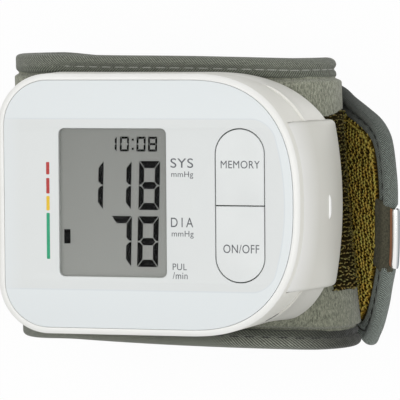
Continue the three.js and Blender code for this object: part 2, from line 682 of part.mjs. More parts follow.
// A frame under the glass that stands on the board.
function displayHolder() {
  const rectangle = (grow) => [
    [WINDOW_X - GLASS_WIDTH / 2 - grow, WINDOW_X + GLASS_WIDTH / 2 + grow],
    [WINDOW_Y - GLASS_HEIGHT / 2 - grow, WINDOW_Y + GLASS_HEIGHT / 2 + grow],
  ];
  const top = Math.min(GLASS_BOTTOM, FRONT_WALL_BOTTOM) - GAP;
  const frame = block(...rectangle(HOLDER_WALL), [BOARD_TOP + GAP, top]);
  return frame.subtract(block(...rectangle(-HOLDER_LEDGE), [0, FAR]));
}

// The rubber strip that joins the glass to the board.
function zebraStrip() {
  const half = GLASS_WIDTH / 2 - HOLDER_LEDGE - GAP;
  const low = WINDOW_Y - GLASS_HEIGHT / 2 + HOLDER_LEDGE + GAP;
  const levels = [BOARD_TOP + GAP, GLASS_BOTTOM - GAP];
  return block([WINDOW_X - half, WINDOW_X + half], [low, low + ZEBRA_WIDTH], levels);
}

add("display_lens", lens(), FINISH.lens);
add("display_glass", displayGlass(), FINISH.displayGlass);
add("display_holder", displayHolder(), FINISH.darkPlastic);
add("display_connector", zebraStrip(), FINISH.darkPlastic);

// Keys and their switches

// A cap with an ear under the case that keeps it in, and a stem over its switch.
function key(side) {
  const earTop = FRONT_WALL_BOTTOM - GAP;
  const earLevels = [earTop - KEY_EAR_THICK, earTop];
  const left = KEY_X - KEY_WIDTH / 2;
  const middle = side * KEY_MIDDLE;
  const limits = [middle - STEM_RADIUS, middle + STEM_RADIUS];
  return join([
    plate(halfCapsule(side), [KEY_BOTTOM, PANEL_Z]),
    block([left, STEM_X + STEM_RADIUS], limits, [earLevels[0], KEY_BOTTOM + MERGE]),
    block([left - KEY_EAR, STEM_X], limits, earLevels),
    post(STEM_RADIUS, STEM_X, middle, [SWITCH_TOP + KEY_TRAVEL + GAP / 2, earTop]),
  ]);
}

function tactSwitch(side) {
  const half = SWITCH_SIZE / 2;
  const middle = side * KEY_MIDDLE;
  const levels = [BOARD_TOP + GAP, SWITCH_TOP];
  return block([STEM_X - half, STEM_X + half], [middle - half, middle + half], levels);
}

add("memory_button", key(1), FINISH.panelWhite);
add("on_off_button", key(-1), FINISH.panelWhite);
add("memory_switch", tactSwitch(1), FINISH.darkPlastic);
add("on_off_switch", tactSwitch(-1), FINISH.darkPlastic);

// Main board

function mainBoard() {
  const board = block([BOARD_LEFT, BOARD_RIGHT], [-BOARD_HALF, BOARD_HALF], [BOARD_BOTTOM, BOARD_TOP]);
  const screwHoles = BOARD_SCREWS.map(([x, y]) => post(SCREW_RADIUS + GAP, x, y, [0, FAR]));
  const bossHoles = CASE_SCREWS.map(([x, y]) => post(BOSS_RADIUS + GAP, x, y, [0, FAR]));
  return board.subtract(join([...screwHoles, ...bossHoles]));
}

function controllerChip() {
  const limits = [-CHIP_SIZE / 2, CHIP_SIZE / 2];
  return block(limits, limits, [UNDER_BOARD - CHIP_HEIGHT, UNDER_BOARD]);
}

add("main_board", mainBoard(), FINISH.boardGreen);
BOARD_SCREWS.forEach(([x, y], i) => {
  add(`board_screw_${i + 1}`, screw(x, y, UNDER_BOARD, FRONT_WALL_BOTTOM - GAP), FINISH.steel);
});
add("controller_chip", controllerChip(), FINISH.darkPlastic);
add("buzzer", post(BUZZER_RADIUS, ...BUZZER_PLACE, [UNDER_BOARD - BUZZER_HEIGHT, UNDER_BOARD]),
  FINISH.darkPlastic);

// Air path

function pumpHead() {
  return block(
    [PUMP_X - PUMP_RADIUS, PUMP_X + PUMP_RADIUS],
    [PUMP_HEAD_FROM, PUMP_HEAD_FROM + PUMP_HEAD_LENGTH],
    [PUMP_Z - PUMP_RADIUS, PUMP_Z + PUMP_RADIUS],
  );
}

function pressureSensor() {
  const half = SENSOR_SIZE / 2;
  return block([AIR_X - half, AIR_X + half], [-half, half], [SENSOR_BOTTOM, UNDER_BOARD]);
}

// A block on the rear wall that splits the air to the cuff, the sensor and the valve.
function airManifold() {
  const half = MANIFOLD_SIZE / 2;
  const levels = [MANIFOLD_BOTTOM, SENSOR_BOTTOM - GAP];
  const body = block([AIR_X - half, AIR_X + half], [-half, half], levels);
  return body.subtract(post(NIPPLE_RADIUS + GAP, AIR_X, 0, [0, MANIFOLD_BOTTOM + NIPPLE_ENTRY]));
}

// A hose that leaves one port and enters another square to their faces.
function airTube(from, leaving, to, entering) {
  const out = from.clone().addScaledVector(leaving, TUBE_STRAIGHT);
  const back = to.clone().addScaledVector(entering, -TUBE_STRAIGHT);
  const path = new THREE.CatmullRomCurve3([from, out, back, to], false, "centripetal");
  const circle = new THREE.Shape();
  circle.absarc(0, 0, TUBE_RADIUS, 0, 2 * Math.PI);
  const options = { steps: TUBE_STEPS, curveSegments: CORNER_ARC_STEPS, extrudePath: path };
  return solid(new THREE.ExtrudeGeometry(circle, options));
}

const RIGHTWARDS = new THREE.Vector3(1, 0, 0);
const DOWNWARDS = new THREE.Vector3(0, -1, 0);
const PORT_Z = MANIFOLD_BOTTOM + PORT_RISE;

function pumpTube() {
  const y = PUMP_HEAD_FROM + PUMP_HEAD_LENGTH / 2;
  const from = new THREE.Vector3(PUMP_X + PUMP_RADIUS + GAP, y, PORT_Z);
  const to = new THREE.Vector3(AIR_X - MANIFOLD_SIZE / 2 - GAP, y, PORT_Z);
  return airTube(from, RIGHTWARDS, to, RIGHTWARDS);
}

function valveTube() {
  const y = VALVE_FROM + VALVE_LENGTH / 2 - CRADLE_THICK - TUBE_RADIUS;
  const from = new THREE.Vector3(PUMP_X + VALVE_RADIUS + GAP, y, PUMP_Z);
  const to = new THREE.Vector3(AIR_X, MANIFOLD_SIZE / 2 + GAP, PORT_Z);
  return airTube(from, RIGHTWARDS, to, DOWNWARDS);
}

add("pump_motor", bar(PUMP_RADIUS, PUMP_X, PUMP_Z, [PUMP_FROM, PUMP_FROM + MOTOR_LENGTH]), FINISH.steel);
add("pump_head", pumpHead(), FINISH.darkPlastic);
add("exhaust_valve", bar(VALVE_RADIUS, PUMP_X, PUMP_Z, [VALVE_FROM, VALVE_FROM + VALVE_LENGTH]),
  FINISH.steel);
add("pressure_sensor", pressureSensor(), FINISH.darkPlastic);
add("air_manifold", airManifold(), FINISH.darkPlastic);
add("pump_tube", pumpTube(), FINISH.silicone);
add("valve_tube", valveTube(), FINISH.silicone);

// Batteries and contacts

// A cell along Y. Side 1 has its nub towards +Y.
function cell({ x, z }, side) {
  const flat = BAY_LOW + CONTACT_THICK + SPRING_LENGTH + 3 * GAP;
  const nubEnd = flat + CELL_LENGTH;
  const turn = (y) => (side === 1 ? y : BAY_LOW + BAY_HIGH - y);
  const span = (a, b) => [Math.min(turn(a), turn(b)), Math.max(turn(a), turn(b))];
  const can = bar(CELL_RADIUS, x, z, span(flat, nubEnd - CELL_NUB), SMOOTH_SIDES);
  return can.add(bar(NUB_RADIUS, x, z, span(nubEnd - CELL_NUB - MERGE, nubEnd)));
}

// The least gap between a wound wire's turns, measured on points at least half a turn apart.
function leastTurnGap(middles) {
  let least = Infinity;
  for (let i = 0; i < middles.length; i += 1) {
    for (let j = i + SPRING_TURN_STEPS / 2; j < middles.length; j += 1) {
      least = Math.min(least, middles[i].distanceTo(middles[j]));
    }
  }
  return least - 2 * SPRING_WIRE;
}

// A wire wound about Y, from the contact at the bay's end towards the cell's flat end.
function contactSpring({ x, z }, side) {
  const steps = SPRING_TURNS * SPRING_TURN_STEPS;
  const reach = SPRING_LENGTH - 2 * SPRING_WIRE;
  const start = CONTACT_THICK + 2 * GAP + SPRING_WIRE;
  const middles = [];
  const rings = [];
  for (let i = 0; i <= steps; i += 1) {
    const angle = (i / SPRING_TURN_STEPS) * 2 * Math.PI;
    const rise = start + (reach * i) / steps;
    const y = side === 1 ? BAY_LOW + rise : BAY_HIGH - rise;
    const ring = [];
    for (let j = 0; j < SPRING_SIDES; j += 1) {
      const around = (j * 2 * Math.PI) / SPRING_SIDES;
      const radius = SPRING_RADIUS + SPRING_WIRE * Math.cos(around);
      const height = y + SPRING_WIRE * Math.sin(around);
      ring.push([x + radius * Math.cos(angle), height, z + radius * Math.sin(angle)]);
    }
    rings.push(ring);
    middles.push(new THREE.Vector3(
      x + SPRING_RADIUS * Math.cos(angle), y, z + SPRING_RADIUS * Math.sin(angle)));
  }
  console.log(`contact spring: least gap between turns ${leastTurnGap(middles).toFixed(2)} mm`);
  return ringSolid(rings, ([px, py, pz]) => new THREE.Vector2(Math.hypot(px - x, pz - z), py));
}

// The Y limits of a contact at one end of the bay.
const LOW_CONTACT = [BAY_LOW + GAP, BAY_LOW + GAP + CONTACT_THICK];
const HIGH_CONTACT = [BAY_HIGH - GAP - CONTACT_THICK, BAY_HIGH - GAP];

function squareContact({ x, z }, limits) {
  const half = CONTACT_WIDTH / 2;
  return block([x - half, x + half], limits, [z - half, z + half]);
}

// A slanted plate that joins the lower cell to the upper one.
function bridgeContact(lower, upper, limits) {
  const half = CONTACT_WIDTH / 2;
  const points = [
    [lower.x - half, lower.z - half],
    [lower.x + half, lower.z - half],
    [lower.x + half, lower.z + half],
    [upper.x + half, upper.z + half],
    [upper.x - half, upper.z + half],
    [upper.x - half, upper.z - half],
  ];
  return alongWrist(points, limits);
}

const UPPER_CELL = { x: UPPER_CELL_X, z: UPPER_CELL_Z };
const LOWER_CELL = { x: LOWER_CELL_X, z: LOWER_CELL_Z };
add("battery_upper", cell(UPPER_CELL, -1), FINISH.cellSleeve);
add("battery_lower", cell(LOWER_CELL, 1), FINISH.cellSleeve);
add("battery_bridge", bridgeContact(LOWER_CELL, UPPER_CELL, LOW_CONTACT), FINISH.steel);
add("bridge_spring", contactSpring(LOWER_CELL, 1), FINISH.steel);
add("positive_contact", squareContact(LOWER_CELL, HIGH_CONTACT), FINISH.steel);
add("negative_contact", squareContact(UPPER_CELL, HIGH_CONTACT), FINISH.steel);
add("negative_spring", contactSpring(UPPER_CELL, -1), FINISH.steel);

// Cuff roll: stations along its outer surface, from the short end round to the tongue's hinge

function arc(x, z, radius, fromDegrees, toDegrees, step) {
  const from = THREE.MathUtils.degToRad(fromDegrees);
  const sweep = THREE.MathUtils.degToRad(toDegrees - fromDegrees);
  const at = (t) => {
    const angle = from + sweep * t;
    const normal = [Math.cos(angle), Math.sin(angle)];
    return { x: x + radius * normal[0], z: z + radius * normal[1], normal };
  };
  return { length: radius * sweep, pieces: Math.ceil((toDegrees - fromDegrees) / step), at };
}

const RIGHT_DEGREES = 90 - THREE.MathUtils.radToDeg(RIGHT_TURN);
const LEFT_DEGREES = 90 + THREE.MathUtils.radToDeg(LEFT_TURN);
const UNDERSIDE = {
  length: BASE_RIGHT - BASE_LEFT,
  pieces: UNDERSIDE_STEPS,
  at: (t) => ({ x: BASE_LEFT + (BASE_RIGHT - BASE_LEFT) * t, z: 0, normal: [0, -1] }),
};
const ROLL_PARTS = [
  arc(RIGHT_MIDDLE_X, RIGHT_MIDDLE_Z, RIGHT_RADIUS, -SHORT_END_ANGLE, RIGHT_DEGREES, ARC_STEP),
  arc(0, SADDLE_Z, SADDLE_RADIUS, RIGHT_DEGREES, LEFT_DEGREES, SADDLE_STEP),
  arc(LEFT_MIDDLE_X, LEFT_MIDDLE_Z, LEFT_RADIUS, LEFT_DEGREES, 180, ARC_STEP),
  arc(BASE_LEFT, LOW_RADIUS, LOW_RADIUS, 180, 270, ARC_STEP),
  UNDERSIDE,
  arc(BASE_RIGHT, TURN_RADIUS, TURN_RADIUS, 270, 270 + TONGUE_RISE, ARC_STEP),
];
const ROLL_LENGTH = ROLL_PARTS.reduce((sum, part) => sum + part.length, 0);

function rollStation(along) {
  let rest = along;
  for (const part of ROLL_PARTS) {
    if (rest <= part.length) {
      return part.at(rest / part.length);
    }
    rest -= part.length;
  }
  return ROLL_PARTS.at(-1).at(1);
}

// Every station between two lengths, with one at each end.
function stations(from, to) {
  const marks = [from];
  let start = 0;
  for (const part of ROLL_PARTS) {
    for (let i = 0; i <= part.pieces; i += 1) {
      const along = start + (part.length * i) / part.pieces;
      if (along > marks.at(-1) + LEAST_STEP && along < to - LEAST_STEP) {
        marks.push(along);
      }
    }
    start += part.length;
  }
  marks.push(to);
  return marks.map(rollStation);
}

// A section of [y, depth under the outer surface] points, carried along the roll between two lengths.
function alongRoll([from, to], section) {
  const rings = stations(from, to).map(({ x, z, normal }) =>
    section.map(([y, depth]) => [x - normal[0] * depth, y, z - normal[1] * depth]));
  const { x, z, normal } = rollStation(from);
  return ringSolid(rings, ([px, py, pz]) =>
    new THREE.Vector2(py, (x - px) * normal[0] + (z - pz) * normal[1]));
}

// A plain layer between two depths and two Y limits.
function layer(lengths, [outer, inner], [y0, y1]) {
  return alongRoll(lengths, [[y0, outer], [y1, outer], [y1, inner], [y0, inner]]);
}

const LAYER_SPAN = [-LAYER_HALF, LAYER_HALF];
const AFTER_BINDING = BINDING_WIDTH + GAP;
const BINDING_DEPTHS = [BINDING_SINK, BINDING_SINK + BINDING_THICK];
const UNDER_SADDLE_LAYERS = [ROLL_HEIGHT - LINING_TOP, FAR];

function nippleHole() {
  return post(NIPPLE_RADIUS + GAP, AIR_X, 0, UNDER_SADDLE_LAYERS);
}

// The padded outer layer, with sloping shoulders, a socket for the tongue's knuckle and the saddle's holes.
function cuffVelour() {
  const flat = LAYER_HALF - SHOULDER;
  const strip = alongRoll([AFTER_BINDING, ROLL_LENGTH], [
    [-LAYER_HALF, BINDING_SINK], [-flat, 0], [flat, 0], [LAYER_HALF, BINDING_SINK],
    [LAYER_HALF, VELOUR], [-LAYER_HALF, VELOUR],
  ]);
  const socket = bar(VELOUR / 2 + GAP, HINGE_X, HINGE_Z, [-CUFF_WIDTH, CUFF_WIDTH], SMOOTH_SIDES);
  const studs = [STUD_Y, -STUD_Y].map((y) => post(STUD_RADIUS + GAP, STUD_X, y, UNDER_SADDLE_LAYERS));
  return strip.subtract(join([socket, nippleHole(), ...studs]));
}

// The springy sheet that keeps the roll round, with two studs that hold it to the rear case.
function cuffCurler() {
  const lengths = [CURLER_FROM, ROLL_LENGTH - CURLER_STOP];
  const sheet = layer(lengths, [CURLER_TOP, CURLER_TOP + CURLER], LAYER_SPAN);
  const foot = saddleHeight(STUD_X, SADDLE_RADIUS) - CURLER_TOP - CURLER / 2;
  const studs = [STUD_Y, -STUD_Y].map((y) => post(STUD_RADIUS, STUD_X, y, [foot, STUD_TOP - GAP]));
  return join([sheet, ...studs]).subtract(nippleHole());
}

// The flat air bag, with a spout up into the manifold.
function airBladder() {
  const half = BLADDER_WIDTH / 2;
  const lengths = [BLADDER_FROM, BLADDER_FROM + BLADDER_LENGTH];
  const bag = layer(lengths, [BLADDER_TOP, BLADDER_TOP + BLADDER], [-half, half]);
  const foot = saddleHeight(AIR_X, SADDLE_RADIUS) - BLADDER_TOP - BLADDER / 2;
  const top = MANIFOLD_BOTTOM + NIPPLE_ENTRY - GAP;
  const spout = post(NIPPLE_RADIUS, AIR_X, 0, [foot, top]);
  return bag.add(spout).subtract(post(NIPPLE_BORE, AIR_X, 0, [foot + BLADDER, top + PAST]));
}

function cuffLining() {
  const lengths = [AFTER_BINDING, ROLL_LENGTH - LINING_STOP];
  return layer(lengths, [LINING_TOP, LINING_TOP + LINING], LAYER_SPAN);
}

function edgeBinding(side) {
  const inner = side * (CUFF_HALF - BINDING_WIDTH);
  const outer = side * CUFF_HALF;
  const limits = [Math.min(inner, outer), Math.max(inner, outer)];
  return layer([0, ROLL_LENGTH - 2 * GAP], BINDING_DEPTHS, limits);
}

function hookPatch() {
  const lengthAt = (degrees) => RIGHT_RADIUS * THREE.MathUtils.degToRad(degrees + SHORT_END_ANGLE);
  const lengths = [lengthAt(HOOK_FROM_ANGLE), lengthAt(HOOK_TO_ANGLE)];
  return layer(lengths, [-GAP - HOOK_THICK, -GAP], [HOOK_BOTTOM, HOOK_TOP]);
}

add("cuff_velour", cuffVelour(), FINISH.velour);
add("cuff_curler", cuffCurler(), FINISH.curlerClear);
add("air_bladder", airBladder(), FINISH.silicone);
add("cuff_lining", cuffLining(), FINISH.lining);
add("upper_binding", edgeBinding(1), FINISH.binding);
add("lower_binding", edgeBinding(-1), FINISH.binding);
add("short_end_binding", layer([0, BINDING_WIDTH], BINDING_DEPTHS, LAYER_SPAN), FINISH.binding);
add("hook_patch", hookPatch(), FINISH.olive);

// Tongue: flat, in its own group at the hinge line. There +X runs to the tip and +Z to its inner face.

tongue.position.set(HINGE_X, 0, HINGE_Z);
tongue.rotation.y = -RISE;
const FACE = -VELOUR / 2; // the tongue's outer face in its group
const TONGUE_EDGE = [FACE + GAP / 2, TONGUE_INNER]; // levels of its edge tape
const TIP_MIDDLE = -TONGUE_TILT * TONGUE_LENGTH;
const PATCH_BOTTOM = TONGUE_INNER + GAP;
const PATCH_TIP = TONGUE_LENGTH - CLIP_LENGTH - GAP;

// The tapered outline with a rounded tip, drawn in by inset, from a length to the tip.
function tongueOutline(from, inset) {
  const tip = TONGUE_LENGTH - inset;
  const upper = [];
  const lower = [];
  for (let i = 0; i < TONGUE_STEPS; i += 1) {
    const along = from + (tip - from) * Math.sin((i / TONGUE_STEPS) * (Math.PI / 2));
    const rounding = Math.sqrt(1 - (along / tip) ** TONGUE_ROUNDING);
    const half = (CUFF_HALF - inset - TONGUE_TAPER * along) * rounding;
    const middle = -TONGUE_TILT * along;
    lower.push([along, middle - half]);
    upper.push([along, middle + half]);
  }
  return [...lower, [tip, -TONGUE_TILT * tip], ...upper.reverse()];
}

function tongueVelour() {
  const sheet = plate(tongueOutline(0, BINDING_WIDTH + 2 * GAP), [FACE, FACE + VELOUR]);
  const half = LAYER_HALF - GAP;
  return sheet.add(bar(VELOUR / 2, 0, 0, [-half, half], SMOOTH_SIDES));
}

function tonguePad() {
  const bottom = FACE + VELOUR + GAP;
  const inset = BINDING_WIDTH + GAP + PAD_INSET;
  return plate(tongueOutline(PAD_FROM, inset), [bottom, bottom + PAD_THICK]);
}

function tongueBinding() {
  const outside = plate(tongueOutline(2 * GAP, 0), TONGUE_EDGE);
  return outside.subtract(plate(tongueOutline(0, BINDING_WIDTH), [-FAR, FAR]));
}

function tipPatch() {
  const half = PATCH_WIDTH / 2;
  const limits = [TIP_MIDDLE - half, TIP_MIDDLE + half];
  return block([PATCH_TIP - PATCH_LENGTH, PATCH_TIP], limits, [PATCH_BOTTOM, PATCH_BOTTOM + PATCH_THICK]);
}

// A crimped metal channel over the middle of the tip.
function tipClip() {
  const half = CLIP_WIDTH / 2;
  const [bottom, top] = [TONGUE_EDGE[0] - GAP, TONGUE_EDGE[1] + GAP];
  const body = block(
    [TONGUE_LENGTH - CLIP_LENGTH, TONGUE_LENGTH + GAP + CLIP_WALL],
    [TIP_MIDDLE - half, TIP_MIDDLE + half],
    [bottom - CLIP_WALL, top + CLIP_WALL],
  );
  return body.subtract(block([0, TONGUE_LENGTH + GAP], [-FAR, FAR], [bottom, top]));
}

add("tongue_velour", tongueVelour(), FINISH.velour, tongue);
add("tongue_loop_pad", tonguePad(), FINISH.olive, tongue);
add("tongue_binding", tongueBinding(), FINISH.binding, tongue);
add("tip_patch", tipPatch(), FINISH.darkFabric, tongue);
add("tip_clip", tipClip(), FINISH.steel, tongue);

export default monitor;
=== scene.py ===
"""A wrist blood pressure monitor on its rolled cuff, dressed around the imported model.

Sizes are millimetres in the model's own frame: +X runs right across the display, +Y along the wrist and
+Z out of the display. They become metres where a mesh is made.
"""
import json
import math

import bmesh
import bpy
import numpy as np
from mathutils import Matrix, Vector


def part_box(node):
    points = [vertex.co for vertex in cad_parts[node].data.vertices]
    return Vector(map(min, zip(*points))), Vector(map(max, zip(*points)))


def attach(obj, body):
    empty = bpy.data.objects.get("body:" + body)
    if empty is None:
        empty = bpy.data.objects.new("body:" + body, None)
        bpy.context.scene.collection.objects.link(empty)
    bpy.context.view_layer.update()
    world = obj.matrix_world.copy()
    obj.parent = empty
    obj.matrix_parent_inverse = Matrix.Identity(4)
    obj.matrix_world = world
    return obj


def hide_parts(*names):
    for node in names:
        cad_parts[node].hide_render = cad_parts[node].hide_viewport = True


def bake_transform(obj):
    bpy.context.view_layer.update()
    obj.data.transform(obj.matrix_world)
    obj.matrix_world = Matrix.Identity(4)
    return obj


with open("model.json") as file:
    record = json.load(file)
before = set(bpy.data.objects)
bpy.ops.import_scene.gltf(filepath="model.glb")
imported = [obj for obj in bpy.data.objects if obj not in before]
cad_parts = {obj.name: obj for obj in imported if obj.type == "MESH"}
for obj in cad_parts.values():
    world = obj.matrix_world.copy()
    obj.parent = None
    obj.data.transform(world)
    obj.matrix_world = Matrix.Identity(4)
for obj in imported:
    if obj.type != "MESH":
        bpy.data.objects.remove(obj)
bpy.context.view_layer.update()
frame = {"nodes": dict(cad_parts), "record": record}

MM = 0.001


def node_box(name):
    """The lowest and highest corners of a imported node, in millimetres."""
    low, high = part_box(name)
    return np.array(low) / MM, np.array(high) / MM


# Sizes of the housing
PANEL_LOW, PANEL_HIGH = node_box("front_panel")
PANEL_LEFT = -PANEL_LOW[0]
PANEL_RIGHT = PANEL_HIGH[0]
PANEL_HALF = PANEL_HIGH[1]
PANEL_Z = PANEL_HIGH[2]
PANEL_THICK = 1.2
PANEL_CORNER = 12.7
BOW_START = 10.6
BOW_EXPONENT = 2.5
RIM = 1.8
RIGHT_FLARE = 0.2
LEFT_FLARE = 0.15
PARTING_DEPTH = 13.0
PARTING_GAP = 0.2
REAR_INSET = 0.4  # how far the rear case stands back from the front case's edge
REAR_EASE = 5.0  # the depth over which it comes out again
REAR_RIDGE = 0.4  # how far the rear case's upper edge stands proud round the bow
RIDGE_X = (25.0, 31.0)  # where that ridge starts and where it is full, along X
REAR_SKIRT = 1.8  # how much further its foot spreads at the bow's lower corner
SKIRT_Y = (20.0, 31.0)  # where that foot starts and where it is full, along -Y
REAR_LIP = 0.2  # the bevel of its upper edge
FLOOR_MIDDLE = 1.0  # where its floor closes, along X
SADDLE_GUESS = 24.0  # the housing's depth down to the saddle, before it is worked out
SADDLE_ROUNDS = 6
RIM_ROUND = 1.35  # the width of the rim's rounding
RIM_CREASE = 0.65  # the depth where the rounding meets the side in a crease
RIM_TURN = math.radians(50)  # how far the rounding has turned at that crease
LIP_GAP = 0.08  # between the panel and the rim
LIP_DEPTH = 1.5  # the foot of the rim's inner lip
LIP_TOP = 0.02
LIP_ROUND = 0.18
SIDE_START = 1.2  # where the front case's side is straight, below its rim
PARTING_ROUND = 0.4  # the rounding of the front case's lower edge
LEDGE_DEPTH = 3.3  # the underside of the ledge that carries the panel
LEDGE_REACH = 8.0
DOOR_GAP = 0.05
WALL = 1.8
WINDOW = (-10.8, 0.5, 31.1, 41.1, 1.6)  # middle x and y, width, height, corner
KEY_X = 25.7
KEY_WIDTH = 13.6
KEYS_HEIGHT = 41.8
KEY_GAP = 0.3
KEY_DEPTH = 2.2
KEY_EDGE = 0.15  # the rounding of a key's edges, as with the panel and the lens
PANEL_EDGE = 0.12
LENS_EDGE = 0.08
LENS_SLACK = 0.1
DOOR_LOW, DOOR_HIGH = (corner[1] for corner in node_box("battery_door"))
DOOR_MIDDLE = (DOOR_LOW + DOOR_HIGH) / 2
DOOR_HALF = (DOOR_HIGH - DOOR_LOW) / 2
DOOR_TOP_DEPTH = 3.0
DOOR_WALL = 1.5
DOOR_BACK_DEPTH = 30.0
DOOR_BACK_X = PANEL_RIGHT + 7.0
DOOR_BACK_BOW = 2.1
DOOR_SHADE_DEPTH = 8.0  # the depth over which painted shade darkens the door's white
DOOR_SWELL = 2.2  # how early the door's side reaches out; 1 would be straight
DOOR_CORNER = 1.3  # the rounding of its long edges
DOOR_RETURN = 4.2  # how far in its end walls reach
DOOR_FOOT_IN = 0.9  # the rounding at its foot, inwards and upwards
DOOR_FOOT_HIGH = 1.1
DOOR_LIP_IN = 0.05  # the same at its top
DOOR_LIP_HIGH = 0.2
DOOR_TOP_ROWS = (0.0, 0.004, 0.012)  # shares of its depth where rows of points lie close together
DOOR_FOOT_ROWS = (0.95, 0.97, 0.985, 0.995, 1.0)
GRIP_DEPTH = 17.0
GRIP_Y = -1.07
GRIP_HALF = 3.6
GRIP_WIDE = 0.42
GRIP_RISE = 1.05
GRIP_SUNK = 0.5  # how far its foot lies under the door's face
FACE_ROOM = 0.3  # between the door's face and the case behind it
CUT_DEPTH = 60.0  # how far the cuts for the door run, in depth and along X
CUT_REACH = 70.0
CELL_ROOM_X = 30.5  # the way out for the cells: its inner end, its depth at the top and its foot's height
CELL_ROOM_TOP = 3.6
CELL_ROOM_FOOT = 56.2

# Sizes of the cuff, measured on its outer surface
TAPE_WIDTH = 10.4  # of a flat edge tape before it is folded over the edge
INNER_STRIP = 2.7  # from an edge tape's inner edge to its stitches, along the tape's face
CUFF_HALF = 40.5
ROLL_TOP = 57.0
SADDLE_RADIUS = 150.0
SADDLE_Z = ROLL_TOP - SADDLE_RADIUS
HOUSING_BACK = SADDLE_RADIUS + 0.3
HOUSING_FLOOR = HOUSING_BACK + 1.6
RIGHT_REACH = 46.0
RIGHT_RADIUS = 18.0
LEFT_REACH = 52.0
LEFT_RADIUS = 22.0
SHORT_END_ANGLE = math.radians(-75)
TURN_RADIUS = 16.0
TONGUE_RISE = math.radians(50)
TONGUE_LENGTH = 49.0
VELOUR = 2.2
VELOUR_SUNK = 0.12  # how far its face lies under the roll's outer surface
VELOUR_HALF = 36.6
CLOTH_START = 2.0  # where the velour and the lining start, from the short end
SHOULDER = 6.0  # the width of the padding's slope towards the tapes
SHOULDER_FALL = 2.0
RIGHT_STEEP = (12.0, 20.0, 38.0, 48.0)  # lengths between which the right-hand bend's slope is steeper
RIGHT_STEEPER = 3.2  # how much narrower the slope is there
LEFT_STEEP = (-18.0, -10.0, 8.0, 18.0)  # the same, from the start of the left-hand bend's lower half
LEFT_STEEPER = 3.8
GROOVE_Y = 34.75  # the groove beside each tape
GROOVE_WIDTH = 0.5
GROOVE_FALL = 1.1
UNDER_TAPE = 1.3  # how much deeper the velour reaches under the tapes
UNDER_TAPE_Y = (34.0, 34.6)
TAPER_LENGTH = 5.0  # over which the cloths thin out at the short end
VELOUR_TAPER = 1.6
LINING_TAPER = 1.8
LINING_RISE = 4.4  # how far the lining's end is drawn up to the velour
LINING_RISE_LENGTH = 13.0
LINING_THICK = 1.0
PINCH = 0.45  # how far the inner sheets thin out at their edges, per thickness
PINCH_WIDTH = 2.5
SHORT_END_HALF = 36.5
LINING_HALF = 36.4
LINING_INNER = -7.3
BINDING_MIDDLE = -3.3  # height of the edge tape's middle plane on the roll
TONGUE_BINDING_MIDDLE = -2.4
LEAN = (-0.75, -0.08, 0.0009)  # sideways shift of the right-hand bend: a start, then per y and per y*y
LEAN_X = (18.0, 42.0)  # where it starts and where it is full, along X
EDGE_DRAW = 0.9  # how far the bend's upper edge is drawn in
EDGE_Y = (33.0, 40.0)
LEFT_SWELL = (1.9, 0.018)  # how much further the left-hand bend reaches, and its change with y
LEFT_SPREAD = 0.016  # how much wider the cuff's lower half is at its left-hand bend
LEFT_X = (-30.0, -48.0)
SKEW = 0.026  # how far the cuff sits turned on the housing
SKEW_MIDDLE = -12.0
SKEW_X = (-36.0, 36.0)
UPPER_SPREAD = 0.012  # how much wider the upper half is towards the right
UPPER_X = (-30.0, 10.0)
LOWER_SPREAD = 0.013
SHORT_DRAW = 0.018  # how much narrower the roll is at its short end
SHORT_DRAW_LENGTH = 26.0
TUCK = 1.7  # how much lower along Y the roll's underside sits than its top
TUCK_Z = (16.0, 3.0)
SPLIT = -25.0  # where the tongue's own cloth starts, from its hinge line
JOINTS = {joint["name"]: joint for joint in frame["record"]["behaviour"]["joints"]}
HINGE = np.array(JOINTS["tongue_flex"]["pos_m"]) / MM


# Meshes from arrays

def grid_faces(rows, columns, wrap_rows=False, wrap_columns=False):
    """Quads between neighbouring points of a grid, as point numbers; a wrapped side joins its ends."""
    i = np.arange(rows if wrap_rows else rows - 1)[:, None]
    j = np.arange(columns if wrap_columns else columns - 1)[None, :]
    down = (i + 1) % rows
    right = (j + 1) % columns
    corners = [i * columns + j, down * columns + j, down * columns + right, i * columns + right]
    return np.stack(np.broadcast_arrays(*corners), axis=-1).reshape(-1, 4)


def zip_faces(count):
    """Quads that close a ring of points by joining point i to the point as far from the ring's end."""
    i = np.arange(count // 2 - 1)
    return np.stack([i, i + 1, count - 2 - i, count - 1 - i], axis=-1)


def tube_faces(rings, sides):
    """The faces of a small tube: quads along it and one flat face at each end."""
    ends = np.stack([np.arange(sides), (rings - 1) * sides + np.arange(sides)])
    return [grid_faces(rings, sides, False, True), ends]


def make_piece(name, points, face_sets, finish, uv=None, crease=35):
    """A mesh object from points in millimetres and sets of equal-sided faces, turned outwards."""
    mesh = bpy.data.meshes.new(name)
    points = np.ascontiguousarray(points.reshape(-1, 3), dtype=float)
    corners = np.concatenate([faces.ravel() for faces in face_sets])
    sides = np.concatenate([np.full(len(faces), faces.shape[1]) for faces in face_sets])
    mesh.vertices.add(len(points))
    mesh.vertices.foreach_set("co", (points * MM).ravel())
    mesh.loops.add(len(corners))
    mesh.loops.foreach_set("vertex_index", corners.astype(np.int32))
    mesh.polygons.add(len(sides))
    mesh.polygons.foreach_set("loop_start", (np.cumsum(sides) - sides).astype(np.int32))
    mesh.update(calc_edges=True)
    if uv is not None:
        layer = mesh.uv_layers.new(name="cloth")
        layer.data.foreach_set("uv", np.ascontiguousarray(uv, dtype=float).ravel())
    mesh.validate()
    return finish_mesh(name, mesh, finish, crease)


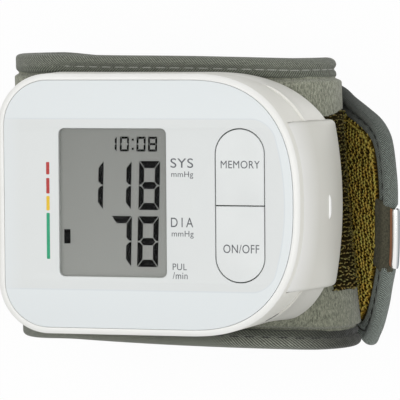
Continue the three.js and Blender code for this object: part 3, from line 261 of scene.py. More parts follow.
def finish_mesh(name, mesh, finish, crease=35):
    """Turns a mesh's faces outwards, shades it smooth between creases and makes it an object."""
    work = bmesh.new()
    work.from_mesh(mesh)
    bmesh.ops.recalc_face_normals(work, faces=work.faces)
    work.to_mesh(mesh)
    work.free()
    mesh.shade_smooth()
    mesh.set_sharp_from_angle(angle=math.radians(crease))
    mesh.materials.append(finish)
    piece = bpy.data.objects.new(name, mesh)
    bpy.context.scene.collection.objects.link(piece)
    return piece


def make_tube(name, rings, finish, uv=None, crease=35, closed=False):
    """Rings of points joined in turn; the two end rings are zipped shut unless the tube is closed."""
    rows, columns = rings.shape[:2]
    sides = grid_faces(rows, columns, closed, True)
    face_sets = [sides]
    corner_sets = [grid_faces(rows + closed, columns + 1)]
    if not closed:
        cap = zip_faces(columns)
        face_sets += [cap, cap + (rows - 1) * columns]
        corner_sets += [cap, cap + (rows - 1) * (columns + 1)]
    corner_uv = None
    if uv is not None:
        corner_uv = np.concatenate([uv.reshape(-1, 2)[c.ravel()] for c in corner_sets])
    return make_piece(name, rings, face_sets, finish, corner_uv, crease)


def make_sheet(name, top, bottom, finish, flat=None, crease=40):
    """A closed sheet between two grids of points; flat holds the cloth's own lengths for its weave."""
    rings = np.concatenate([top, bottom[:, ::-1]], axis=1)
    uv = None
    if flat is not None:
        uv = np.concatenate([flat, flat[:, ::-1], flat[:, :1]], axis=1)
    return make_tube(name, rings, finish, uv, crease)


def make_copies(name, shape, face_sets, places, turns, finish, crease=60, uv=None):
    """Copies of one small shape with its own uv, each turned by its own axes and moved to its place."""
    points = np.einsum("vj,kji->kvi", shape, turns) + places[:, None, :]
    step = np.arange(len(places))[:, None, None] * len(shape)
    copied = [(faces[None] + step).reshape(-1, faces.shape[1]) for faces in face_sets]
    corner_uv = None
    if uv is not None:
        corner_uv = np.concatenate([np.tile(uv[faces.ravel()], (len(places), 1)) for faces in face_sets])
    return make_piece(name, points, copied, finish, corner_uv, crease)


def ease(t):
    """A smooth step from 0 to 1."""
    t = np.clip(t, 0, 1)
    return t * t * (3 - 2 * t)


def ramp(value, start, end):
    """A smooth step from 0 at start to 1 at end."""
    return ease((value - start) / (end - start))


def between(value, start, full, fall, end):
    """1 from full to fall, easing to 0 at start and at end."""
    return ramp(value, start, full) * (1 - ramp(value, fall, end))


def stacked(*values):
    """Arrays brought to one shape and put together along a new last axis."""
    return np.stack(np.broadcast_arrays(*values), axis=-1)


def unit(vectors):
    """Vectors brought to length 1."""
    return vectors / np.linalg.norm(vectors, axis=-1, keepdims=True)


def smooth_steps(a, b, c, d, per_point):
    """Steps from each point b to the next, c, on a curve that heeds a before and d after (Catmull-Rom)."""
    a, b, c, d = (points[:, None] for points in (a, b, c, d))
    t = np.arange(per_point)[None, :, None] / per_point
    curve = 2 * b + (c - a) * t + (2 * a - 5 * b + 4 * c - d) * t ** 2 + (3 * b - a - 3 * c + d) * t ** 3
    return curve.reshape(-1, curve.shape[-1]) / 2


def smooth_loop(points, per_point):
    """A closed curve through a few points, with a number of steps from each to the next."""
    points = np.array(points, float)
    return smooth_steps(*(np.roll(points, shift, axis=0) for shift in (1, 0, -1, -2)), per_point)


def smooth_line(points, per_point):
    """An open curve through all points but the first and last, which only steer its ends."""
    points = np.array(points, float)
    curve = smooth_steps(*(points[k:len(points) - 3 + k] for k in range(4)), per_point)
    return np.concatenate([curve, points[-2:-1]])


def around(loop):
    """The length round a closed loop at each of its points and once more at its end."""
    steps = np.linalg.norm(np.roll(loop, -1, axis=0) - loop, axis=1)
    return np.concatenate([[0], np.cumsum(steps)])


# Shader helpers

def paint(red, green, blue):
    """A colour written as it looks on a screen (0 to 255), turned into the light values that shaders use."""
    srgb = np.array([red, green, blue]) / 255
    linear = np.where(srgb <= 0.04045, srgb / 12.92, ((srgb + 0.055) / 1.055) ** 2.4)
    return (*linear.tolist(), 1.0)


def add_node(tree, kind, inputs=None, **settings):
    """A shader node with its settings, and values or links for its inputs."""
    node = tree.nodes.new(kind)
    for key, value in settings.items():
        setattr(node, key, value)
    for key, value in (inputs or {}).items():
        if isinstance(value, bpy.types.NodeSocket):
            tree.links.new(value, node.inputs[key])
        else:
            node.inputs[key].default_value = value
    return node


def math_node(tree, operation, *values):
    """One step of arithmetic on values or links."""
    return add_node(tree, "ShaderNodeMath", dict(enumerate(values)), operation=operation).outputs[0]


def mix_colour(tree, factor, first, second, blend="MIX"):
    """Two colours mixed by a factor; the node keeps its colours in sockets 6 and 7."""
    inputs = {"Factor": factor, 6: first, 7: second}
    return add_node(tree, "ShaderNodeMix", inputs, data_type="RGBA", blend_type=blend).outputs[2]


def tinted(tree, first, second):
    """One colour multiplied by another."""
    return mix_colour(tree, 1.0, first, second, "MULTIPLY")


def ranged(tree, value, low, high, start=0.0, end=1.0):
    """A value that goes from start to end as another one goes from low to high."""
    inputs = {"Value": value, "From Min": low, "From Max": high, "To Min": start, "To Max": end}
    return add_node(tree, "ShaderNodeMapRange", inputs).outputs[0]


def two_tones(tree, mask, low, high, dark, light):
    """A colour that goes from dark to light as a mask goes from low to high."""
    return mix_colour(tree, ranged(tree, mask, low, high), dark, light)


def noise(tree, place, scale, detail=2.0, roughness=0.5):
    """Smooth random values between 0 and 1; a higher scale makes them finer."""
    inputs = {"Vector": place, "Scale": scale, "Detail": detail, "Roughness": roughness}
    return add_node(tree, "ShaderNodeTexNoise", inputs).outputs[0]


def object_place(tree):
    """The point on the piece in millimetres."""
    inputs = {0: add_node(tree, "ShaderNodeTexCoord").outputs["Object"], "Scale": 1 / MM}
    return add_node(tree, "ShaderNodeVectorMath", inputs, operation="SCALE").outputs[0]


def along_axis(tree, axis):
    """The point's place along one axis of the model, in millimetres."""
    return add_node(tree, "ShaderNodeSeparateXYZ", {0: object_place(tree)}).outputs[axis]


def cloth_place(tree):
    """The point's own lengths on its cloth, along it and across it."""
    uv = add_node(tree, "ShaderNodeUVMap", uv_map="cloth").outputs[0]
    return add_node(tree, "ShaderNodeSeparateXYZ", {0: uv}).outputs[:2]


def new_group(name, inputs, outputs):
    """An empty shader node group with named value inputs and value outputs."""
    group = bpy.data.node_groups.new(name, "ShaderNodeTree")
    for label, value in inputs.items():
        socket = group.interface.new_socket(label, in_out="INPUT", socket_type="NodeSocketFloat")
        socket.default_value = value
    for label in outputs:
        group.interface.new_socket(label, in_out="OUTPUT", socket_type="NodeSocketFloat")
    return group, group.nodes.new("NodeGroupInput"), group.nodes.new("NodeGroupOutput")


def put_out(group, result, **values):
    """Links a group's values to its outputs."""
    for label, value in values.items():
        group.links.new(value, result.inputs[label])
    return group


def moulded_grain_group():
    """Fine spark-eroded grain of moulded plastic with slow, faint drifts of tone and gloss."""
    group, given, result = new_group("moulded_grain", {"Grain": 3.0}, ["Height", "Tone", "Gloss"])
    place = object_place(group)
    grain = noise(group, place, given.outputs["Grain"], 3.0)
    drift = noise(group, place, 0.06)
    gloss = math_node(group, "MULTIPLY_ADD", grain, 0.5, math_node(group, "MULTIPLY", drift, 0.5))
    return put_out(group, result, Height=grain, Tone=drift, Gloss=gloss)


def wave_of(tree, length, pitch):
    """A wave between 0 and 1 that comes back at every pitch of a length."""
    turns = math_node(tree, "DIVIDE", math_node(tree, "MULTIPLY", length, 2 * math.pi), pitch)
    return math_node(tree, "MULTIPLY_ADD", math_node(tree, "SINE", turns), 0.5, 0.5)


def twill_group():
    """Herringbone twill on the cloth's own lengths: slanted ribs that turn back at one line along the tape,
    with fine yarns along it."""
    group, given, result = new_group("herringbone_twill", {"Pitch": 0.7, "Turn": 2.7}, ["Height", "Fleck"])
    along, across = cloth_place(group)
    away = math_node(group, "ABSOLUTE", math_node(group, "SUBTRACT", across, given.outputs["Turn"]))
    ribs = wave_of(group, math_node(group, "SUBTRACT", along, away), given.outputs["Pitch"])
    yarns = wave_of(group, across, YARN_PITCH)
    height = math_node(group, "MULTIPLY_ADD", yarns, 0.3, math_node(group, "MULTIPLY", ribs, 0.7))
    return put_out(group, result, Height=height, Fleck=noise(group, object_place(group), 1.6, 4.0))


def nap_group():
    """Brushed pile: flecks drawn out along the wrist over a finer, even fuzz."""
    given_values = {"Fleck size": 1.0, "Stretch": 0.3}
    group, given, result = new_group("brushed_nap", given_values, ["Height", "Fleck", "Fuzz"])
    place = object_place(group)
    stretch = add_node(group, "ShaderNodeCombineXYZ", {0: 1.0, 1: given.outputs["Stretch"], 2: 1.0})
    drawn = add_node(group, "ShaderNodeVectorMath", {0: place, 1: stretch.outputs[0]}, operation="MULTIPLY")
    fleck = noise(group, drawn.outputs[0], given.outputs["Fleck size"], 5.0, 0.65)
    fuzz = noise(group, place, 5.0, 3.0)
    height = math_node(group, "MULTIPLY_ADD", fuzz, 0.6, math_node(group, "MULTIPLY", fleck, 0.6))
    return put_out(group, result, Height=height, Fleck=fleck, Fuzz=fuzz)


YARN_PITCH = 0.42  # across the edge tapes
MOULDED_GRAIN = moulded_grain_group()
TWILL = twill_group()
NAP = nap_group()
NOISE_LOW = 0.3  # most of a noise's values lie between these two
NOISE_HIGH = 0.7
GLOSS_DRIFT = 0.06
FULL = paint(255, 255, 255)
# the tone by which painted shade multiplies an edge tape
PAINTED_SHADE_TONE = paint(118, 118, 114)
SHADE_ROOT = (26.0, 8.0)  # how far before the darkest place of painted shade the tape is full, and where the painted shade starts
# The border line on the panel: its reach along X, its half height, its corners and its bow with y squared
BORDER_REACH = 38.3
BORDER_HALF = 23.7
BORDER_CORNER = 5.0
BORDER_BOW = 0.0075
BORDER_FADE = (-44.0, -37.0)  # between which it fades in along X


def new_material(name):
    """A material with its Principled shader, and the tree that it sits in."""
    finish = bpy.data.materials.new(name)
    finish.use_nodes = True
    tree = finish.node_tree
    return finish, tree, tree.nodes["Principled BSDF"]


def place_group(tree, group, **values):
    """A shared group placed in a material with that material's own values."""
    node = tree.nodes.new("ShaderNodeGroup")
    node.node_tree = group
    for label, value in values.items():
        node.inputs[label.replace("_", " ")].default_value = value
    return node


def raise_bump(tree, shader, height, depth):
    """Bump of a given depth in millimetres from a height between 0 and 1."""
    bump = add_node(tree, "ShaderNodeBump", {"Height": height, "Distance": depth * MM})
    tree.links.new(bump.outputs[0], shader.inputs["Normal"])


def vary_gloss(tree, shader, skin, low, high):
    """Roughness that drifts between two values with the moulded skin."""
    gloss = ranged(tree, skin.outputs["Gloss"], NOISE_LOW, NOISE_HIGH, low, high)
    tree.links.new(gloss, shader.inputs["Roughness"])


def plastic(name, dark, light, roughness=0.38, grain=3.0, depth=0.012, metallic=0.0):
    """Moulded plastic (or plain metal): fine grain, with faint drifts of tone and gloss."""
    finish, tree, shader = new_material(name)
    skin = place_group(tree, MOULDED_GRAIN, Grain=grain)
    colour = two_tones(tree, skin.outputs["Tone"], NOISE_LOW, NOISE_HIGH, dark, light)
    tree.links.new(colour, shader.inputs["Base Color"])
    vary_gloss(tree, shader, skin, roughness - GLOSS_DRIFT, roughness + GLOSS_DRIFT)
    shader.inputs["Metallic"].default_value = metallic
    raise_bump(tree, shader, skin.outputs["Height"], depth)
    return finish


def painted_shade_plastic(name, axis, low, high, shaded_tone, bright, roughness):
    """Moulded white with painted shade: it goes from a darker, warmer shaded tone to a bright one between two
    places on an axis.
    """
    finish, tree, shader = new_material(name)
    skin = place_group(tree, MOULDED_GRAIN, Grain=3.0)
    # painted shade: from the shaded tone to the bright one along the axis
    fade = two_tones(tree, along_axis(tree, axis), low, high, shaded_tone, bright)
    drift = two_tones(tree, skin.outputs["Tone"], NOISE_LOW, NOISE_HIGH, paint(250, 250, 249), FULL)
    tree.links.new(tinted(tree, fade, drift), shader.inputs["Base Color"])
    vary_gloss(tree, shader, skin, roughness - GLOSS_DRIFT, roughness + GLOSS_DRIFT)
    raise_bump(tree, shader, skin.outputs["Height"], 0.012)
    return finish


def panel_finish():
    """The front panel: a cooler outer band, and a greyer middle inside a soft rounded border line. The line
    lies where the distance from a bowed rectangle, drawn in by the corner's radius, equals that radius."""
    finish, tree, shader = new_material("panel_white")
    skin = place_group(tree, MOULDED_GRAIN, Grain=4.0)
    x = along_axis(tree, 0)
    y = along_axis(tree, 1)
    bowed_x = math_node(tree, "MULTIPLY_ADD", math_node(tree, "MULTIPLY", y, y), BORDER_BOW, x)
    total = 0.0
    for away, reach in ((bowed_x, BORDER_REACH), (math_node(tree, "ABSOLUTE", y), BORDER_HALF)):
        past = math_node(tree, "MAXIMUM", math_node(tree, "SUBTRACT", away, reach - BORDER_CORNER), 0.0)
        total = math_node(tree, "MULTIPLY_ADD", past, past, total)
    edge = math_node(tree, "SUBTRACT", math_node(tree, "SQRT", total), BORDER_CORNER)
    fade = ranged(tree, x, *BORDER_FADE)
    inside = math_node(tree, "MULTIPLY", ranged(tree, edge, -0.35, 0.1, 1.0, 0.0), fade)
    line = ranged(tree, math_node(tree, "ABSOLUTE", edge), 0.05, 0.3, 0.35, 0.0)
    tint = mix_colour(tree, inside, paint(229, 234, 235), paint(224, 227, 226))
    tint = mix_colour(tree, math_node(tree, "MULTIPLY", line, fade), tint, paint(203, 209, 214))
    tree.links.new(tint, shader.inputs["Base Color"])
    vary_gloss(tree, shader, skin, 0.36, 0.46)
    raise_bump(tree, shader, skin.outputs["Height"], 0.006)
    return finish


def display_finish():
    """The grey display film: a slow change from a darker top to a lighter foot, with a fine mottle."""
    finish, tree, shader = new_material("display_grey")
    tint = two_tones(tree, along_axis(tree, 1), 21.0, -20.0, paint(147, 149, 144), paint(163, 165, 160))
    shade = ranged(tree, noise(tree, object_place(tree), 6.0), NOISE_LOW, NOISE_HIGH, 0.96, 1.02)
    grey = add_node(tree, "ShaderNodeCombineColor", {0: shade, 1: shade, 2: shade})
    tree.links.new(tinted(tree, tint, grey.outputs[0]), shader.inputs["Base Color"])
    shader.inputs["Roughness"].default_value = 0.5
    return finish


def lens_finish():
    """The clear window: nearly see-through, with a gloss that faint smears break up."""
    finish, tree, shader = new_material("clear_lens")
    skin = place_group(tree, MOULDED_GRAIN, Grain=0.4)
    smear = ranged(tree, skin.outputs["Height"], 0.35, 0.65, 0.04, 0.1)
    tree.links.new(smear, shader.inputs["Roughness"])
    shader.inputs["Base Color"].default_value = paint(16, 17, 17)
    shader.inputs["Alpha"].default_value = 0.06
    return finish


def ink(name, dark, light, specular=0.5):
    """Printed ink: one tone with a slight unevenness of cover."""
    finish, tree, shader = new_material(name)
    cover = noise(tree, object_place(tree), 2.5)
    tree.links.new(two_tones(tree, cover, NOISE_LOW, NOISE_HIGH, dark, light), shader.inputs["Base Color"])
    shader.inputs["Roughness"].default_value = 0.55
    shader.inputs["Specular IOR Level"].default_value = specular
    return finish


def velour_finish():
    """Grey-green brushed velour with light and dark flecks along the wrist, and painted shade that darkens it
    towards its lower edge.
    """
    finish, tree, shader = new_material("velour")
    nap = place_group(tree, NAP, Fleck_size=2.4, Stretch=0.35)
    tint = two_tones(tree, nap.outputs["Fleck"], 0.34, 0.66, paint(108, 112, 98), paint(200, 202, 185))
    # painted shade: darker towards -Y
    tone_shift = two_tones(tree, along_axis(tree, 1), -38.0, 12.0, paint(212, 213, 209), FULL)
    fuzz = two_tones(
        tree, nap.outputs["Fuzz"], NOISE_LOW, NOISE_HIGH, paint(205, 205, 200), paint(255, 255, 250))
    tree.links.new(tinted(tree, tinted(tree, tint, tone_shift), fuzz), shader.inputs["Base Color"])
    shader.inputs["Roughness"].default_value = 0.95
    shader.inputs["Sheen Weight"].default_value = 0.25
    shader.inputs["Sheen Roughness"].default_value = 0.5
    raise_bump(tree, shader, nap.outputs["Height"], 0.35)
    return finish


def twill_finish(name, dark, light, inner, pitch, turn, shade=None):
    """Woven edge tape: herringbone ribs, dark between and light on top, with uneven dye. The strip inside the
    stitches is tinted with the inner colour. Where shade gives two places along X and a slope with Y, painted
    shade darkens the tape at the first place; it is full at the second and some way before the first."""
    finish, tree, shader = new_material(name)
    weave = place_group(tree, TWILL, Pitch=pitch, Turn=turn)
    tint = two_tones(tree, weave.outputs["Height"], 0.15, 0.85, dark, light)
    tone_shift = two_tones(tree, weave.outputs["Fleck"], 0.35, 0.65, paint(212, 212, 208), paint(255, 255, 252))
    strip = two_tones(tree, cloth_place(tree)[1], INNER_STRIP - 0.5, INNER_STRIP + 0.5, inner, FULL)
    tint = tinted(tree, tinted(tree, tint, tone_shift), strip)
    if shade:
        # painted shade: darkest at the first place, full at the second and near the root
        low, high, slope = shade
        x = along_axis(tree, 0)
        along = math_node(tree, "MULTIPLY_ADD", along_axis(tree, 1), slope, x)
        fade = two_tones(tree, along, low, high, PAINTED_SHADE_TONE, FULL)
        root = two_tones(tree, x, low - SHADE_ROOT[0], low - SHADE_ROOT[1], FULL, PAINTED_SHADE_TONE)
        tint = tinted(tree, tint, mix_colour(tree, 1.0, fade, root, "LIGHTEN"))
    tree.links.new(tint, shader.inputs["Base Color"])
    shader.inputs["Roughness"].default_value = 0.88
    shader.inputs["Sheen Weight"].default_value = 0.15
    raise_bump(tree, shader, weave.outputs["Height"], 0.16)
    return finish


def olive_finish(name, dark, light):
    """Olive ground cloth under the hooks and the loops, dark and lighter in drifting patches."""
    finish, tree, shader = new_material(name)
    nap = place_group(tree, NAP, Fleck_size=0.8, Stretch=1.0)
    tint = two_tones(tree, nap.outputs["Fleck"], 0.34, 0.68, dark, light)
    tree.links.new(tint, shader.inputs["Base Color"])
    shader.inputs["Roughness"].default_value = 0.9
    shader.inputs["Specular IOR Level"].default_value = 0.06
    raise_bump(tree, shader, nap.outputs["Height"], 0.25)
    return finish


def yarn_finish(name, root, body, tip):
    """Loops of olive yarn: painted shade where they leave the cloth and a painted highlight in khaki on top,
    some redder and some greener, and painted shade towards the upper edge, so that they look a little paler
    towards the lower edge."""
    finish, tree, shader = new_material(name)
    rise = cloth_place(tree)[1]
    nap = place_group(tree, NAP, Fleck_size=0.45, Stretch=1.0)
    # painted shade at the loop's root and a painted highlight at its top, by its share of height
    lower = two_tones(tree, rise, 0.15, 0.75, root, body)
    upper = two_tones(tree, rise, 0.7, 1.0, lower, tip)
    shift = two_tones(tree, nap.outputs["Fleck"], 0.36, 0.64, paint(255, 222, 150), paint(225, 255, 235))
    tint = mix_colour(tree, 0.6, upper, shift, "MULTIPLY")
    # painted shade: darker towards +Y
    painted_shade_upper = two_tones(tree, along_axis(tree, 1), -30.0, 20.0, FULL, paint(204, 206, 200))
    tree.links.new(tinted(tree, tint, painted_shade_upper), shader.inputs["Base Color"])
    shader.inputs["Roughness"].default_value = 0.6
    shader.inputs["Specular IOR Level"].default_value = 0.2
    raise_bump(tree, shader, nap.outputs["Fuzz"], 0.1)
    return finish


def cloth_finish(name, dark, light, size=1.5, depth=0.2):
    """A plain close cloth with a fine fuzz and soft drifts of tone."""
    finish, tree, shader = new_material(name)
    nap = place_group(tree, NAP, Fleck_size=size, Stretch=0.8)
    tint = two_tones(tree, nap.outputs["Fleck"], 0.35, 0.65, dark, light)
    tree.links.new(tint, shader.inputs["Base Color"])
    shader.inputs["Roughness"].default_value = 0.92
    raise_bump(tree, shader, nap.outputs["Height"], depth)
    return finish


def clip_finish():
    """Bright plated metal, copper-toned and less metallic along its lip, greyer round its nose, with faint
    smears.
    """
    finish, tree, shader = new_material("clip_metal")
    skin = place_group(tree, MOULDED_GRAIN, Grain=1.2)
    girth = cloth_place(tree)[1]
    tint = two_tones(tree, girth, 1.0, 1.6, paint(196, 136, 102), paint(240, 240, 238))
    tint = two_tones(tree, girth, 2.5, 3.4, tint, paint(120, 128, 132))
    tree.links.new(tint, shader.inputs["Base Color"])
    vary_gloss(tree, shader, skin, 0.12, 0.22)
    tree.links.new(ranged(tree, girth, 0.8, 1.6, 0.2, 1.0), shader.inputs["Metallic"])
    raise_bump(tree, shader, skin.outputs["Height"], 0.012)
    return finish


# Painted shade: the front case's side is painted darker and warmer than its rim, for the side that turns away
# from the light.
CASE_WHITE = painted_shade_plastic("case_white", 2, PANEL_Z - RIM_CREASE - 0.25, PANEL_Z - RIM_CREASE,
                           paint(241, 240, 232), paint(246, 246, 243), 0.36)
# Painted shade: the rear case is painted darker towards -Y, on its lower side.
REAR_WHITE = painted_shade_plastic("rear_white", 1, -30.0, 0.0, paint(213, 212, 205), paint(246, 245, 239), 0.42)
# Painted shade: the door is painted darker away from the rim, for its side that turns away from the light.
DOOR_WHITE = painted_shade_plastic("door_white", 2, PANEL_Z - DOOR_TOP_DEPTH - DOOR_SHADE_DEPTH, PANEL_Z - DOOR_TOP_DEPTH,
                           paint(222, 221, 213), paint(246, 246, 243), 0.36)
# Painted highlight: the rib is whiter than the door's side around it.
GRIP_WHITE = plastic("grip_white", paint(250, 250, 248), paint(253, 253, 252), 0.25)
PANEL_WHITE = panel_finish()
KEY_WHITE = plastic("key_white", paint(225, 228, 227), paint(231, 234, 233), 0.42, 4.0, 0.006)
DISPLAY_GREY = display_finish()
CLEAR_LENS = lens_finish()
SEGMENT_INK = ink("segment_ink", paint(4, 5, 5), paint(12, 12, 12), 0.03)
LABEL_INK = ink("label_ink", paint(72, 75, 80), paint(90, 93, 98))
RED_INK = ink("red_ink", paint(166, 44, 44), paint(188, 62, 56))
YELLOW_INK = ink("yellow_ink", paint(226, 184, 30), paint(236, 198, 52))
GREEN_INK = ink("green_ink", paint(22, 148, 106), paint(40, 164, 122))
VELOUR_CLOTH = velour_finish()
EDGE_TWILL = twill_finish(
    "binding", paint(68, 72, 63), paint(160, 164, 152), paint(224, 226, 222), 0.8, INNER_STRIP)
# Painted shade: the lower tape's inner strip is painted darker by the velour's groove, and the tape darkens
# towards the right-hand bend.
LOWER_TWILL = twill_finish(
    "lower_binding_twill", paint(46, 50, 44), paint(166, 170, 158), paint(160, 162, 156), 0.88, TAPE_WIDTH,
    (47.0, 33.0, 0.0))
# Painted shade: the tongue's tape darkens towards its upper root, away from the roll.
TONGUE_TWILL = twill_finish(
    "tongue_binding_twill", paint(40, 46, 43), paint(172, 183, 176), paint(246, 252, 255), 0.7, TAPE_WIDTH,
    (32.0, 66.0, -0.35))
STITCH_THREAD = ink("stitch_thread", paint(152, 154, 145), paint(190, 192, 182))
DARK_THREAD = ink("dark_thread", paint(38, 40, 36), paint(58, 60, 54))
# Root and tip tones are painted shade and a painted highlight; the body tone is the yarn's own.
OLIVE_LOOPS = yarn_finish("olive_loops", paint(60, 46, 9), paint(160, 131, 42), paint(236, 212, 118))
# Partly the cloth's own dark olive, partly painted shade in the deep holes between the loops; the hook ground
# is darker still, as painted shade of the crevice by the housing.
OLIVE_GROUND = olive_finish("olive_ground", paint(42, 32, 7), paint(78, 63, 20))
HOOK_GROUND = olive_finish("hook_ground", paint(20, 15, 4), paint(46, 38, 14))
# Darker than the loops: partly the hooks' own brown-olive, partly painted shade of the patch beside the
# housing.
OLIVE_HOOKS = yarn_finish("olive_hooks", paint(26, 20, 5), paint(78, 68, 32), paint(160, 148, 98))
DARK_FABRIC = cloth_finish("dark_fabric", paint(56, 55, 42), paint(92, 89, 72), 2.0)
LINING_CLOTH = cloth_finish("lining", paint(96, 98, 92), paint(122, 124, 116), 1.0)
CLIP_METAL = clip_finish()

INSIDE = {
    "dark_plastic": plastic("dark_plastic", paint(34, 35, 37), paint(46, 47, 49), 0.45),
    "board_green": plastic("board_green", paint(18, 74, 44), paint(28, 92, 56), 0.35, 1.2),
    "steel": plastic("steel", paint(150, 152, 155), paint(186, 188, 190), 0.28, 2.0, 0.01, 1.0),
    "cell_sleeve": plastic("cell_sleeve", paint(28, 34, 46), paint(44, 52, 66), 0.3, 1.0),
    "pump_can": plastic("pump_can", paint(140, 142, 146), paint(172, 174, 178), 0.32, 2.0, 0.01, 1.0),
    "silicone": plastic("silicone", paint(196, 194, 186), paint(212, 210, 203), 0.55, 1.5),
    "curler": plastic("curler", paint(206, 207, 203), paint(222, 223, 219), 0.45, 1.0),
    "display_grey": DISPLAY_GREY,
}


def dress_inside():
    """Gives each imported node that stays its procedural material, by its record's slot."""
    slots = {entry["node"]: entry["material_slot"] for entry in frame["record"]["subparts"]}
    for name, node in frame["nodes"].items():
        finish = INSIDE.get(slots.get(name), INSIDE["dark_plastic"])
        node.data.materials.clear()
        node.data.materials.append(finish)


# The camera, the floor and the lights

VIEW_TURN = math.radians(17.0)
VIEW_RISE = math.radians(3.5)
VIEW_ROLL = -0.008
VIEW_DISTANCE = 900.0
PIXEL_SIZE = 0.275  # millimetres at the display
FRAME_PIXELS = 400
SENSOR_WIDTH = 36.0
FRAME_MIDDLE = np.array([200.0, 200.0])
DISPLAY_PIXEL = np.array([149.75, 205.0])  # where the middle of the panel shows
FLOOR_HALF = 3000.0
FLOOR_Z = -0.3
FLOOR_GLOW = 0.96  # how much of the floor that the camera sees is plain white


def set_camera():
    """A long lens at the photograph's angle, turned so that its axis meets the picture's middle."""
    level = math.cos(VIEW_RISE)
    toward = np.array([math.sin(VIEW_TURN) * level, math.sin(VIEW_RISE), math.cos(VIEW_TURN) * level])
    right = np.array([math.cos(VIEW_TURN), 0, -math.sin(VIEW_TURN)])
    up = np.cross(toward, right)
    focal = VIEW_DISTANCE / PIXEL_SIZE
    across, down = FRAME_MIDDLE - DISPLAY_PIXEL
    image_right = math.cos(VIEW_ROLL) * right + math.sin(VIEW_ROLL) * up
    image_up = math.cos(VIEW_ROLL) * up - math.sin(VIEW_ROLL) * right
    forward = unit(-toward * focal + image_right * across - image_up * down)
    axis_x = unit(np.cross(forward, image_up))
    axis_y = np.cross(axis_x, forward)
    place = (np.array([0, 0, PANEL_Z]) + VIEW_DISTANCE * toward) * MM
    data = bpy.data.cameras.new("view")
    data.sensor_width = SENSOR_WIDTH
    data.lens = SENSOR_WIDTH * focal / FRAME_PIXELS
    data.clip_start = 0.05
    data.clip_end = 20
    camera = bpy.data.objects.new("view", data)
    turn = Matrix((axis_x, axis_y, -forward)).transposed().to_4x4()
    camera.matrix_world = Matrix.Translation(Vector(place)) @ turn
    bpy.context.scene.collection.objects.link(camera)
    bpy.context.scene.camera = camera


def seen_rays(tree):
    """1 for rays that see a surface, also mirrored or through glass, and 0 for those that light it."""
    rays = add_node(tree, "ShaderNodeLightPath")
    seen = math_node(tree, "MAXIMUM", rays.outputs["Is Camera Ray"], rays.outputs["Is Glossy Ray"])
    return math_node(tree, "MAXIMUM", seen, rays.outputs["Is Transmission Ray"])


def set_floor():
    """A wide pale floor: white to the camera and in reflections, where it still takes some of the shadow."""
    corners = np.array([(-1, -1, 0), (1, -1, 0), (1, 1, 0), (-1, 1, 0)]) * FLOOR_HALF + [0, 0, FLOOR_Z]
    finish, tree, shader = new_material("floor_white")
    speck = noise(tree, object_place(tree), 0.05)
    tint = two_tones(tree, speck, NOISE_LOW, NOISE_HIGH, paint(243, 243, 243), paint(247, 247, 247))
    tree.links.new(tint, shader.inputs["Base Color"])
    shader.inputs["Roughness"].default_value = 0.9
    glow = add_node(tree, "ShaderNodeEmission", {"Color": (1, 1, 1, 1), "Strength": 1.0})
    share = math_node(tree, "MULTIPLY", seen_rays(tree), FLOOR_GLOW)
    blend = add_node(tree, "ShaderNodeMixShader", {0: share, 1: shader.outputs[0], 2: glow.outputs[0]})
    tree.links.new(blend.outputs[0], tree.nodes["Material Output"].inputs["Surface"])
    floor = make_piece("floor", corners, [np.array([[0, 1, 2, 3]])], finish)


def set_lights():
    """A soft white room with two large soft lamps above, one on the left and one on the right."""
    scene = bpy.context.scene
    scene.view_settings.view_transform = "Standard"
    world = bpy.data.worlds.new("room")
    scene.world = world
    world.use_nodes = True
    tree = world.node_tree
    back = tree.nodes["Background"]
    back.inputs["Color"].default_value = (1, 1, 1, 1)
    back.inputs["Strength"].default_value = 0.48
    white = add_node(tree, "ShaderNodeBackground", {"Color": (1, 1, 1, 1), "Strength": 1.0})
    seen = seen_rays(tree)
    blend = add_node(tree, "ShaderNodeMixShader", {0: seen, 1: back.outputs[0], 2: white.outputs[0]})
    tree.links.new(blend.outputs[0], tree.nodes["World Output"].inputs["Surface"])
    for name, place, size, power in (
        ("left_light", (-0.45, 0.1, 0.95), 0.7, 1.8),
        ("front_light", (0.4, 0.04, 1.08), 0.8, 4.4),
    ):
        data = bpy.data.lights.new(name, "AREA")
        data.shape = "DISK"
        data.size = size
        data.energy = power
        lamp = bpy.data.objects.new(name, data)
        lamp.location = place
        lamp.rotation_euler = (Vector((0, 0, 0.05)) - Vector(place)).to_track_quat("-Z", "Y").to_euler()
        scene.collection.objects.link(lamp)


# Housing

BOW_POINTS = 161
CORNER_POINTS = 25
EDGE_POINTS = 25


def housing_outline(left, right, half, corner):
    """The housing's outline: rounded left corners, straight long edges and a bowed right end.

    The bow is half a superellipse, |x|^p + |y|^p = 1 with p the bow's exponent, from the bottom edge round
    to the top. The sizes may be arrays of one shape, and the outline's points are the last axis but one.
    """
    left, right, half, corner = (np.asarray(v, float)[..., None] for v in (left, right, half, corner))
    t = np.linspace(-math.pi / 2, math.pi / 2, BOW_POINTS)
    power = 2 / BOW_EXPONENT
    bow_x = BOW_START + (right - BOW_START) * np.abs(np.cos(t)) ** power
    bow_y = half * np.sign(np.sin(t)) * np.abs(np.sin(t)) ** power
    share = np.linspace(0, 1, EDGE_POINTS)[1:-1]
    corner_x = corner - left
    top_x = BOW_START + (corner_x - BOW_START) * share
    a = np.linspace(math.pi / 2, math.pi, CORNER_POINTS)
    upper = corner_x + corner * np.cos(a), half - corner + corner * np.sin(a)
    side_y = (half - corner) * (1 - 2 * share)
    lower = upper[0][..., ::-1], -upper[1][..., ::-1]
    flat = np.ones_like(share)
    x = np.concatenate([bow_x, top_x, upper[0], -left * flat, lower[0], top_x[..., ::-1]], axis=-1)
    y = np.concatenate([bow_y, half * flat, upper[1], side_y, lower[1], -half * flat], axis=-1)
    return np.stack([x, y], axis=-1)


